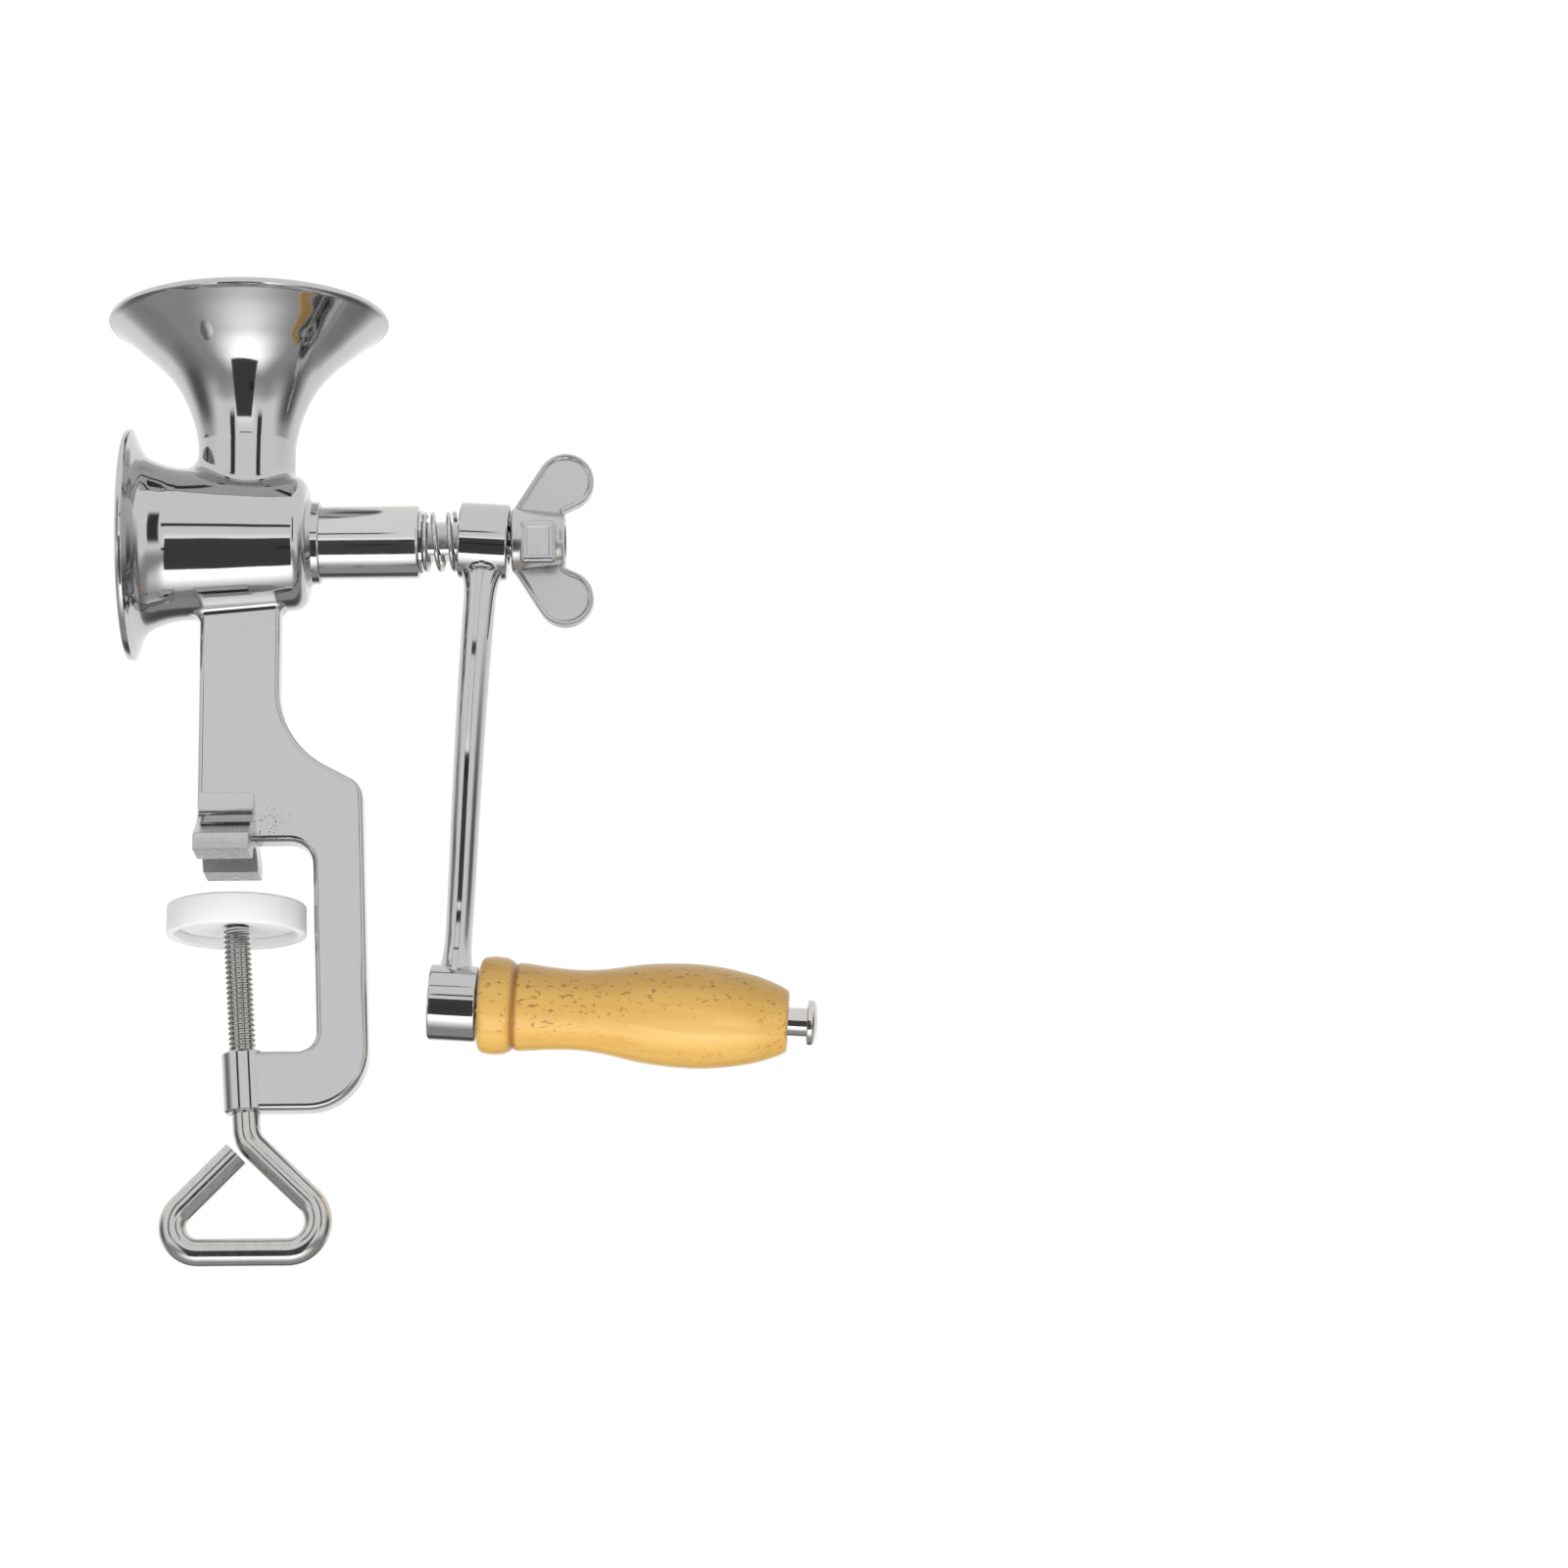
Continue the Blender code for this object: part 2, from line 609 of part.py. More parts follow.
def bowl_shape():
    """The hollow of the hopper, down its throat to the auger."""
    mouth = [
        (HOPPER_TOP_Z + CUT_OVERRUN, 0),
        (HOPPER_TOP_Z + CUT_OVERRUN, HOPPER_MOUTH_R + HOPPER_MOUTH_ROUND + CUT_OVERRUN / 4),
        (HOPPER_TOP_Z, HOPPER_MOUTH_R + HOPPER_MOUTH_ROUND),
        (HOPPER_TOP_Z - HOPPER_MOUTH_ROUND, HOPPER_MOUTH_R),
    ]
    bowl = share_profile(BOWL_SHARES, NECK_Z, HOPPER_TOP_Z - NECK_Z, THROAT_R, HOPPER_MOUTH_R)
    return turned(mouth + bowl + [(SHAFT_Z, THROAT_R), (SHAFT_Z, 0)], ROUND_STEPS)


def dowel_place(side):
    return SHAFT_Z + side * DOWEL_CIRCLE_R


def dowel_shape(side, radius, over=0):
    middle = STATOR_BACK_X
    start = (middle - DOWEL_LENGTH / 2 - over, 0, dowel_place(side))
    end = (middle + DOWEL_LENGTH / 2 + over, 0, dowel_place(side))
    return rod(start, end, radius, 12)


def build_mill_body():
    """One polished casting: hopper, barrel, flange, sleeve boss, post, C-frame, feet and jaw."""
    steel = polished_steel()
    profile = barrel_profile()
    solid = [(FLANGE_X, 0)] + profile + [(profile[-1][0], 0)]
    body = add_object("mill_body", on_shaft(solid), steel)
    plate = add_object("form_plate", frame_plate_shape(), steel, helper=True)
    round_edges(plate, PLATE_ROUND)
    feet = add_object("form_feet", feet_shape(), steel, helper=True)
    round_edges(feet, FOOT_ROUND, 1)
    boss = add_object("form_clamp_boss", clamp_boss_shape(CLAMP_BOSS_R, FIT_GAP), steel, helper=True)
    round_edges(boss, CLAMP_BOSS_ROUND, 1)
    hopper = add_object("form_hopper", hopper_shape(), steel, helper=True)
    cove = add_object("form_post_cove", post_top_shape(), steel, helper=True)
    # The exact solver loses a face of the sleeve's seat on this body, so it takes the manifold one
    for form in (hopper, plate, cove, feet, boss):
        combine(body, form, "UNION", "MANIFOLD")
    bore = add_object("cut_shaft_cavity", shaft_cavity_shape(), steel, helper=True)
    bowl = add_object("cut_bowl", bowl_shape(), steel, helper=True)
    hole = add_object("cut_screw_hole", clamp_boss_shape(SCREW_R + PRESS_GAP, CUT_OVERRUN), steel, helper=True)
    cuts = [bore, bowl, hole]
    for side, label in ((1, "top"), (-1, "bottom")):
        dowel = dowel_shape(side, DOWEL_R + PRESS_GAP, PRESS_GAP)
        cuts.append(add_object("cut_dowel_" + label, dowel, steel, helper=True))
    for cut in cuts:
        combine(body, cut, "DIFFERENCE", "MANIFOLD")


def build_bearing():
    """A steel tube pressed into the boss, a bush at each end and a thrust washer."""
    bore = SLEEVE_BORE_R
    sleeve = [
        (SLEEVE_START_X, bore), (SLEEVE_END_X, bore), (SLEEVE_END_X, SLEEVE_R - SLEEVE_CHAMFER),
        (SLEEVE_END_X - SLEEVE_CHAMFER, SLEEVE_R), (SLEEVE_START_X, SLEEVE_R),
    ]
    add_object("bearing_sleeve", on_shaft(sleeve, ring=True), turned_steel())
    inner, outer = SHAFT_R + RUNNING_GAP, SLEEVE_BORE_R - PRESS_GAP
    for name, start in (("inner_bush", SLEEVE_START_X), ("outer_bush", SLEEVE_END_X - BUSH_LENGTH)):
        end = start + BUSH_LENGTH
        ring = [(start, inner), (end, inner), (end, outer), (start, outer)]
        add_object(name, on_shaft(ring, ring=True), bronze())
    start, end = WASHER_X, WASHER_X + WASHER_T
    ring = [(start, inner), (end, inner), (end, WASHER_R), (start, WASHER_R)]
    add_object("thrust_washer", on_shaft(ring, SMALL_STEPS, ring=True), burr_steel())


def tooth_height(turn_share, radius, height):
    """Height of a burr's face: a saw tooth, deeper and coarser near the hole."""
    fine = (turn_share * TEETH) % 1
    coarse = (turn_share * BREAKERS) % 1
    if radius < BREAKER_R:
        return height * coarse - BREAKER_DROP
    return height * fine


def burr_shape(face_x, back_x, hole_r, outer_r, tooth_side):
    """A burr ring whose teeth stand out of face_x towards tooth_side along X.

    Each fine tooth has a low and a high edge, and the rings skew with the radius."""
    per_tooth = 2
    count = TEETH * per_tooth
    radii = [hole_r, BREAKER_R - FIT_GAP, BREAKER_R + FIT_GAP, outer_r]
    rings = []

    def ring(radius, height_at):
        made = []
        skew = TOOTH_SKEW * (radius - hole_r) / (outer_r - hole_r)
        for k in range(count):
            tooth, high = divmod(k, per_tooth)
            share = (tooth + (0.88 if high else 0.0)) / TEETH
            angle = 2 * math.pi * share + skew
            x = height_at(share)
            made.append((x, radius * math.sin(angle), SHAFT_Z + radius * math.cos(angle)))
        return made

    rings.append(ring(hole_r, lambda share: back_x))
    for radius in radii:
        rings.append(ring(radius, lambda share, r=radius: face_x + tooth_side * tooth_height(share, r, TOOTH_H)))
    rings.append(ring(outer_r, lambda share: back_x))
    return rings


def ring_solid(rings):
    """A closed ring-shaped skin through rings of points, the last of which meets the first."""
    shape = bmesh.new()
    loops = [[shape.verts.new(point) for point in ring] for ring in rings]
    count = len(loops[0])
    for one, other in zip(loops, loops[1:] + loops[:1]):
        for i in range(count):
            j = (i + 1) % count
            shape.faces.new((one[i], one[j], other[j], other[i]))
    return shape


def build_stator_burr():
    """The fixed burr ring, seated in the barrel and kept from turning by two dowels."""
    rings = burr_shape(STATOR_FACE_X, STATOR_BACK_X, STATOR_HOLE_R, STATOR_R, -1)
    burr = add_object("stator_burr", ring_solid(rings), burr_steel())
    for side, label in ((1, "top"), (-1, "bottom")):
        hole = dowel_shape(side, DOWEL_R + PRESS_GAP, PRESS_GAP)
        cut = add_object("cut_stator_" + label, hole, burr_steel(), helper=True)
        combine(burr, cut, "DIFFERENCE")
        add_object("stator_dowel_" + label, dowel_shape(side, DOWEL_R), turned_steel())


def build_rotor_burr():
    """The turning burr: a domed disc with teeth behind it and a hub pinned to the shaft."""
    rings = burr_shape(ROTOR_FACE_X, ROTOR_FACE_X - ROTOR_RIM_T * ROTOR_BACK_SHARE, STATOR_HOLE_R, STATOR_R, 1)
    burr = add_object("rotor_burr", ring_solid(rings), burr_steel())
    edge = ROTOR_RIM_T / 6
    dome = [(ROTOR_BACK_X - ROTOR_DOME_H * up, ROTOR_R * out) for out, up in reversed(ROTOR_DOME_SHARES)]
    face = ROTOR_FACE_X - ROTOR_RIM_T * ROTOR_FACE_SHARE
    disc = dome + [
        (ROTOR_BACK_X + edge / 2, ROTOR_R - edge / 4), (ROTOR_BACK_X + 2 * edge, ROTOR_R),
        (face - edge, ROTOR_R), (face, ROTOR_R - edge), (face, ROTOR_HUB_R),
        (ROTOR_FACE_X + ROTOR_HUB_LENGTH, ROTOR_HUB_R), (ROTOR_FACE_X + ROTOR_HUB_LENGTH, 0),
    ]
    form = add_object("form_rotor_disc", on_shaft(disc), burr_steel(), helper=True)
    combine(burr, form, "UNION")
    socket = rod((ROTOR_FLOOR_X, 0, SHAFT_Z), (AUGER_START_X + CUT_OVERRUN, 0, SHAFT_Z), SHAFT_R + PRESS_GAP)
    combine(burr, add_object("cut_rotor_socket", socket, burr_steel(), helper=True), "DIFFERENCE")
    hole = cross_pin_shape(ROTOR_PIN_X, ROTOR_HUB_R + CUT_OVERRUN, CROSS_PIN_R + PRESS_GAP)
    combine(burr, add_object("cut_rotor_pin", hole, burr_steel(), helper=True), "DIFFERENCE")
    pin = cross_pin_shape(ROTOR_PIN_X, ROTOR_HUB_R - FIT_GAP, CROSS_PIN_R)
    add_object("burr_cross_pin", pin, turned_steel())


def cross_pin_shape(x, half, radius):
    """A pin straight through the shaft at world X."""
    return rod((x, -half, SHAFT_Z), (x, half, SHAFT_Z), radius, 16)


def build_auger():
    """The feed screw: a hub on the shaft with one flight wound round it, pinned at its end."""
    hub = [(AUGER_START_X, SHAFT_R + PRESS_GAP), (AUGER_END_X, SHAFT_R + PRESS_GAP),
           (AUGER_END_X, AUGER_HUB_R), (AUGER_START_X, AUGER_HUB_R)]
    auger = add_object("auger", on_shaft(hub, SMALL_STEPS, ring=True), burr_steel())
    start = AUGER_START_X + AUGER_ROOT_T / 2 + FIT_GAP
    end = AUGER_END_X - AUGER_ROOT_T / 2 - FIT_GAP
    turns = (end - start) / AUGER_PITCH
    steps = math.ceil(turns * AUGER_STEPS_A_TURN)
    root = AUGER_HUB_R - (AUGER_HUB_R - SHAFT_R) / 2
    rings = []
    for k in range(steps + 1):
        angle = -2 * math.pi * turns * k / steps
        x = start + (end - start) * k / steps
        ring = []
        for radius, dx in ((root, -AUGER_ROOT_T / 2), (AUGER_R, -AUGER_TIP_T / 2),
                           (AUGER_R, AUGER_TIP_T / 2), (root, AUGER_ROOT_T / 2)):
            ring.append((x + dx, radius * math.sin(angle), SHAFT_Z + radius * math.cos(angle)))
        rings.append(ring)
    flight = add_object("form_auger_flight", lofted(rings), burr_steel(), helper=True)
    combine(auger, flight, "UNION")
    hole = cross_pin_shape(AUGER_PIN_X, AUGER_HUB_R + AUGER_ROOT_T, CROSS_PIN_R + PRESS_GAP)
    combine(auger, add_object("cut_auger_pin", hole, burr_steel(), helper=True), "DIFFERENCE")
    pin = cross_pin_shape(AUGER_PIN_X, AUGER_HUB_R - FIT_GAP, CROSS_PIN_R)
    add_object("auger_pin", pin, turned_steel())


def flats_outline(across, radius, turn=math.radians(20)):
    """A round bar with four flats, as an outline round the shaft's axis."""
    half = across / 2
    corner = math.sqrt(max(radius * radius - half * half, 0))
    points = []
    for quarter in range(4):
        start = math.atan2(half, corner)
        end = math.atan2(corner, half)
        steps = max(1, math.ceil(abs(start - end) / turn))
        for k in range(steps + 1):
            angle = quarter * math.pi / 2 + end + (start - end) * k / steps
            points.append((radius * math.cos(angle), radius * math.sin(angle)))
    return points


def build_drive_shaft():
    """One bar: journal through the bushes, four flats under the crank, thread for the wing nut."""
    journal_start = ROTOR_FLOOR_X + FIT_GAP
    profile = [
        (journal_start, 0), (journal_start, SHAFT_R), (FLATS_START_X, SHAFT_R), (FLATS_START_X, 0),
    ]
    shaft = add_object("drive_shaft", on_shaft(profile, ROUND_STEPS), turned_steel())
    outline = flats_outline(FLATS_ACROSS, SHAFT_R - PRESS_GAP)
    flats_root = FLATS_START_X - CUT_OVERRUN
    flats = prism(outline, flats_root, THREAD_START_X, lambda u, v, d: (d, u, SHAFT_Z + v))
    thread = [
        (THREAD_START_X - CUT_OVERRUN, 0), (THREAD_START_X - CUT_OVERRUN, THREAD_R),
        (SHAFT_END_X - THREAD_CHAMFER, THREAD_R),
        (SHAFT_END_X, THREAD_R - THREAD_CHAMFER), (SHAFT_END_X, 0),
    ]
    combine(shaft, add_object("form_flats", flats, turned_steel(), helper=True), "UNION")
    combine(shaft, add_object("form_thread", on_shaft(thread, SMALL_STEPS), turned_steel(), helper=True), "UNION")
    for label, x in (("rotor", ROTOR_PIN_X), ("auger", AUGER_PIN_X)):
        hole = cross_pin_shape(x, SHAFT_R + CUT_OVERRUN, CROSS_PIN_R + PRESS_GAP)
        cut = add_object("cut_shaft_" + label, hole, turned_steel(), helper=True)
        combine(shaft, cut, "DIFFERENCE")


def spring_points():
    """The middle of the spring's wire, from the thrust washer to the crank's hub."""
    start = WASHER_X + WASHER_T + FIT_GAP + SPRING_WIRE_R
    lean = (SPRING_MEAN_R + SPRING_WIRE_R) * math.sin(CRANK_LEAN)
    end = HUB_LEFT_X - lean - FIT_GAP - SPRING_WIRE_R
    count = SPRING_COILS * SPRING_POINTS_A_COIL
    points = []
    for k in range(count + 1):
        angle = 2 * math.pi * k / SPRING_POINTS_A_COIL
        share = k / count
        x = start + (end - start) * share
        points.append(Vector((x, -SPRING_MEAN_R * math.sin(angle), SHAFT_Z + SPRING_MEAN_R * math.cos(angle))))
    straight = Vector((0, 2 * SPRING_WIRE_R, 0))
    return [points[0] + straight] + points + [points[-1] - straight]


def report_spring_gap(points):
    """Prints the least space between two turns of the wire."""
    least = math.inf
    for i, one in enumerate(points):
        for other in points[i + SPRING_POINTS_A_COIL // 2:]:
            least = min(least, (one - other).length - 2 * SPRING_WIRE_R)
    state = "over" if least > SPRING_WORST_GAP else "under"
    print(f"spring: least gap between turns {least / MM:.2f} mm, {state} {SPRING_WORST_GAP / MM:.1f} mm")


def build_spring():
    """The compression spring, one unbroken wire."""
    points = spring_points()
    report_spring_gap(points)
    curve = bpy.data.curves.new("spring", "CURVE")
    curve.dimensions = "3D"
    curve.bevel_depth = SPRING_WIRE_R
    curve.bevel_resolution = 1
    curve.use_fill_caps = True
    line = curve.splines.new("POLY")
    line.points.add(len(points) - 1)
    for point, place in zip(line.points, points):
        point.co = (*place, 1)
    curve.materials.append(spring_steel())
    obj = bpy.data.objects.new("spring", curve)
    bpy.context.scene.collection.objects.link(obj)


def arm_ring(share):
    """One section of the crank's arm, at a share of the way from the shaft to the grip's axis."""
    cross = ARM_CROSSING_SHARE
    if share < cross:
        bow = -ARM_BOW * math.sin(math.pi * share / cross)
    else:
        bow = ARM_BOW * (1 - cross) / cross * math.sin(math.pi * (share - cross) / (1 - cross))
    down = CRANK_REACH * share
    flare = 0
    for distance in (down - HUB_R * 0.8, CRANK_REACH - down - EYE_R * 0.8):
        near = max(0, 1 - max(0, distance) / ARM_FLARE_LENGTH)
        flare += ARM_ROOT_FLARE * near * near
    half_x = (ARM_TOP_WIDTH + (ARM_LOW_WIDTH - ARM_TOP_WIDTH) * share + flare) / 2
    half_y = (ARM_TOP_DEPTH + (ARM_LOW_DEPTH - ARM_TOP_DEPTH) * share + flare) / 2
    shift = EYE_SHIFT * share
    points = []
    for k in range(ARM_SIDES):
        angle = 2 * math.pi * k / ARM_SIDES
        ridge = ARM_RIDGE if k % (ARM_SIDES // 2) == ARM_SIDES // 4 else 0
        x = shift + half_x * math.cos(angle)
        y = bow + (half_y + ridge) * math.sin(angle)
        points.append(CRANK_FRAME @ Vector((x, y, -down)))
    return points


def crank_cylinder(down, start, end, radius, steps=40, shift=0):
    """A cylinder in the crank's own frame, parallel to the shaft's side of it."""
    low = CRANK_FRAME @ Vector((start + shift, 0, -down))
    high = CRANK_FRAME @ Vector((end + shift, 0, -down))
    return rod(low, high, radius, steps)


def grip_frame():
    """A frame whose Z runs along the grip's axis, from the eye's outer face."""
    start = CRANK_FRAME @ Matrix.Translation((EYE_SHIFT + EYE_LENGTH / 2, 0, -CRANK_REACH))
    return start @ Matrix.Rotation(math.pi / 2, 4, "Y")


def on_grip(profile, steps, ring=False):
    return turned(profile, steps, grip_frame(), ring)


def build_crank_arm():
    """The cast crank: hub with a square hole, S-curved arm, eye with a counterbore for the nut."""
    steel = polished_steel()
    half = HUB_LENGTH / 2
    arm = add_object("crank_arm", crank_cylinder(0, -half, half, HUB_R), steel)
    round_edges(arm, WING_ROUND, 1)
    inner = HUB_R * 0.45 / CRANK_REACH
    outer = 1 - EYE_R * 0.45 / CRANK_REACH
    rings = [arm_ring(inner + (outer - inner) * k / (ARM_RINGS - 1)) for k in range(ARM_RINGS)]
    bar = add_object("form_arm", lofted(rings), steel, helper=True)
    half_eye = EYE_LENGTH / 2
    eye = crank_cylinder(CRANK_REACH, -half_eye, half_eye, EYE_R, shift=EYE_SHIFT)
    ring = add_object("form_eye", eye, steel, helper=True)
    round_edges(ring, WING_ROUND, 1)
    combine(arm, bar, "UNION")
    combine(arm, ring, "UNION")
    slack = FIT_GAP + half * math.sin(CRANK_LEAN)
    outline = flats_outline(FLATS_ACROSS + 2 * slack, SHAFT_R + slack)
    hole = prism(outline, -half - CUT_OVERRUN, half + CUT_OVERRUN, lambda u, v, d: CRANK_FRAME @ Vector((d, u, v)))
    combine(arm, add_object("cut_hub_square", hole, steel, helper=True), "DIFFERENCE")
    floor = EYE_COUNTERBORE_DEPTH - EYE_LENGTH
    stepped = [
        (-EYE_LENGTH - CUT_OVERRUN, 0), (-EYE_LENGTH - CUT_OVERRUN, EYE_COUNTERBORE_R), (floor, EYE_COUNTERBORE_R),
        (floor, PIN_THREAD_R + PRESS_GAP), (CUT_OVERRUN, PIN_THREAD_R + PRESS_GAP), (CUT_OVERRUN, 0),
    ]
    combine(arm, add_object("cut_eye_bolt", on_grip(stepped, 36), steel, helper=True), "DIFFERENCE")


def build_grip():
    """The turned wooden grip, which spins on its bolt."""
    bore = PIN_R + GRIP_BORE_GAP
    outside = [(GRIP_GAP + GRIP_LENGTH * along, GRIP_R * out) for along, out in GRIP_SHARES]
    profile = [(GRIP_GAP, bore)] + outside + [(GRIP_GAP + GRIP_LENGTH, bore)]
    add_object("grip", on_grip(profile, SMALL_STEPS, ring=True), beech())


def build_grip_pin():
    """The shoulder bolt with a domed head, and the washer and nut sunk in the eye."""
    head = GRIP_GAP + GRIP_LENGTH + PIN_PLAY
    floor = EYE_COUNTERBORE_DEPTH - EYE_LENGTH
    washer = floor - FIT_GAP / 2 - PIN_WASHER_T
    nut = washer - FIT_GAP / 2 - PIN_NUT_T
    end = nut - PIN_THREAD_END
    profile = [(end, 0), (end, PIN_THREAD_R), (FIT_GAP / 2, PIN_THREAD_R), (FIT_GAP / 2, PIN_R), (head, PIN_R),
               (head, PIN_HEAD_R), (head + PIN_HEAD_RIM_T, PIN_HEAD_R)]
    for k in range(1, 4):
        t = math.pi / 2 * k / 3
        profile.append((head + PIN_HEAD_RIM_T + PIN_HEAD_DOME * math.sin(t), PIN_HEAD_R * math.cos(t) * (k < 3)))
    add_object("grip_pin", on_grip(profile, SMALL_STEPS), turned_steel())
    inner = PIN_THREAD_R + PRESS_GAP
    ring = [(washer, inner), (washer + PIN_WASHER_T, inner), (washer + PIN_WASHER_T, PIN_WASHER_R),
            (washer, PIN_WASHER_R)]
    add_object("grip_pin_washer", on_grip(ring, 24, ring=True), turned_steel())
    corner = PIN_NUT_ACROSS / 2 / math.cos(math.pi / 6)
    hexagon = on_grip([(nut + PIN_NUT_T, 0), (nut + PIN_NUT_T, corner), (nut, corner), (nut, 0)], 6)
    body = add_object("grip_pin_nut", hexagon, turned_steel())
    bore = on_grip([(washer, 0), (washer, inner), (nut - CUT_OVERRUN, inner), (nut - CUT_OVERRUN, 0)], 24)
    combine(body, add_object("cut_pin_nut", bore, turned_steel(), helper=True), "DIFFERENCE")


def wing_outline(side):
    """One wing in XZ: a round lobe whose straight back runs down to the heel of the nut's hub."""
    lobe = Vector((NUT_X + WING_LOBE_X, WING_SPAN / 2 - WING_LOBE_R))
    root_left = Vector((NUT_X + WING_ROUND, WING_ROOT_R))
    heel = Vector((NUT_X + WING_ROUND, WING_HEEL_R))
    root_right = Vector((NUT_X + NUT_LENGTH - WING_ROUND, WING_ROOT_R))
    points = [root_right]
    start, end, steps = math.radians(-70), math.radians(146), 14
    for k in range(steps + 1):
        angle = start + (end - start) * k / steps
        points.append(lobe + WING_LOBE_R * Vector((math.cos(angle), math.sin(angle))))
    points += [heel, root_left]
    return [(point.x, SHAFT_Z + side * point.y) for point in points]


def wing_shape(side):
    """A wing whose two faces are sunk a little inside a raised border."""
    shape = prism(wing_outline(side), -WING_T / 2, WING_T / 2, lambda u, v, d: (u, d, v))
    bmesh.ops.recalc_face_normals(shape, faces=shape.faces)
    faces = [face for face in shape.faces if abs(face.normal.y) > 0.9]
    bmesh.ops.inset_individual(shape, faces=faces, thickness=WING_BORDER, use_even_offset=True)
    for face in faces:
        for vert in face.verts:
            vert.co.y -= math.copysign(WING_RECESS, vert.co.y)
    return shape


def build_wing_nut():
    """The cast wing nut that holds the crank and sets the spring."""
    end = NUT_X + NUT_LENGTH
    profile = [
        (NUT_X, 0), (NUT_X, NUT_BASE_R - NUT_CHAMFER / 2), (NUT_X + NUT_CHAMFER, NUT_BASE_R),
        (end - NUT_CHAMFER, NUT_END_R), (end, NUT_END_R - NUT_CHAMFER), (end, 0),
    ]
    nut = add_object("wing_nut", on_shaft(profile, SMALL_STEPS), satin_cast())
    for side, label in ((1, "upper"), (-1, "lower")):
        wing = add_object("form_wing_" + label, wing_shape(side), satin_cast(), helper=True)
        combine(nut, wing, "UNION")
    bore = [(NUT_X - CUT_OVERRUN, 0), (NUT_X - CUT_OVERRUN, THREAD_R + FIT_GAP),
            (end + CUT_OVERRUN, THREAD_R + FIT_GAP), (end + CUT_OVERRUN, 0)]
    combine(nut, add_object("cut_wing_nut", on_shaft(bore, SMALL_STEPS), satin_cast(), helper=True), "DIFFERENCE")


def clamp_screw_path():
    """(point, radius) along the middle of the clamp screw, from its tip round the bent handle."""
    neck_end = SWIVEL_T / 2
    cone_end = neck_end + SCREW_R - SCREW_NECK_R
    path = [
        (screw_point(-SCREW_TIP), SCREW_NECK_R - FIT_GAP), (screw_point(FIT_GAP - SCREW_TIP), SCREW_NECK_R),
        (screw_point(neck_end), SCREW_NECK_R), (screw_point(cone_end), SCREW_R),
    ]
    bend = screw_point((PIVOT_Z - HANDLE_BEND_Z) / math.cos(SCREW_LEAN))
    top = screw_point(cone_end + SCREW_R)
    corners = [
        (top.x, top.z, 0), (bend.x, bend.z, HANDLE_TOP_R),
        (HANDLE_RIGHT_X, HANDLE_LOW_Z, HANDLE_CORNER_R), (HANDLE_LEFT_X, HANDLE_LOW_Z, HANDLE_LEFT_R),
        (HANDLE_END_X, HANDLE_END_Z, 0),
    ]
    handle = rounded_path(corners, closed=False, turn=math.radians(16))
    return path + [(Vector((x, 0, z)), SCREW_R) for x, z in handle]


def swept(path, sides):
    """A round bar along (point, radius) pairs that lie in the XZ plane."""
    rings = []
    for i, (point, radius) in enumerate(path):
        ahead = path[min(i + 1, len(path) - 1)][0] - point
        behind = point - path[max(i - 1, 0)][0]
        along = (ahead.normalized() + behind.normalized()).normalized()
        across = Vector((along.z, 0, -along.x))
        side = Vector((0, 1, 0))
        stretch = 1 / max(0.5, abs(along.dot((ahead if ahead.length else behind).normalized())))
        ring = []
        for k in range(sides):
            angle = 2 * math.pi * k / sides
            ring.append(point + radius * (stretch * math.cos(angle) * across + math.sin(angle) * side))
        rings.append(ring)
    return lofted(rings)


def build_clamp_screw():
    add_object("clamp_screw", swept(clamp_screw_path(), ROD_SIDES), turned_steel())


def on_pad(profile, steps=ROUND_STEPS, ring=False):
    """A turned shape on the pad's upright axis, whose profile gives height over the pivot."""
    return turned(profile, steps, Matrix.Translation(PIVOT), ring)


def build_pad():
    """The plastic cap, the plastic plate snapped into it and the steel ring that keeps both on the screw."""
    top, low = PAD_TOP, PAD_TOP - PAD_H
    under = top - PAD_CAP_T
    inside = PAD_R - PAD_WALL
    cap = [
        (top, 0), (top, PAD_R - PAD_ROUND), (top - PAD_ROUND / 3, PAD_R - PAD_ROUND / 3), (top - PAD_ROUND, PAD_R),
        (low + PAD_ROUND / 2, PAD_R), (low, PAD_R - PAD_ROUND / 2), (low, inside), (under, inside),
        (under, PAD_POCKET_R), (under + PAD_POCKET_H, PAD_POCKET_R), (under + PAD_POCKET_H, 0),
    ]
    add_object("clamp_pad", on_pad(cap), milky_plastic())
    half = SWIVEL_T / 2
    outer = inside - PLATE_R_GAP
    plate = [(half, SWIVEL_HOLE_R), (half, outer), (-half, outer), (-half, SWIVEL_HOLE_R)]
    add_object("swivel_plate", on_pad(plate, ring=True), milky_plastic())
    frame = Matrix.Translation(PIVOT) @ Matrix.Rotation(-SCREW_LEAN, 4, "Y")
    inner = SCREW_NECK_R + PRESS_GAP
    start = half + RING_PLAY
    ring = [(start + RING_T, inner), (start + RING_T, RING_R), (start, RING_R), (start, inner)]
    add_object("pad_retaining_ring", turned(ring, 24, frame, ring=True), turned_steel())


def main():
    clear_scene()
    build_mill_body()
    build_bearing()
    build_stator_burr()
    build_rotor_burr()
    build_auger()
    build_drive_shaft()
    build_spring()
    build_crank_arm()
    build_wing_nut()
    build_grip()
    build_grip_pin()
    build_clamp_screw()
    build_pad()


main()
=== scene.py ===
"""Looks of a hand grain mill that clamps on a table edge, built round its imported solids."""

import math

import bmesh
import bpy
from mathutils import Matrix, Vector


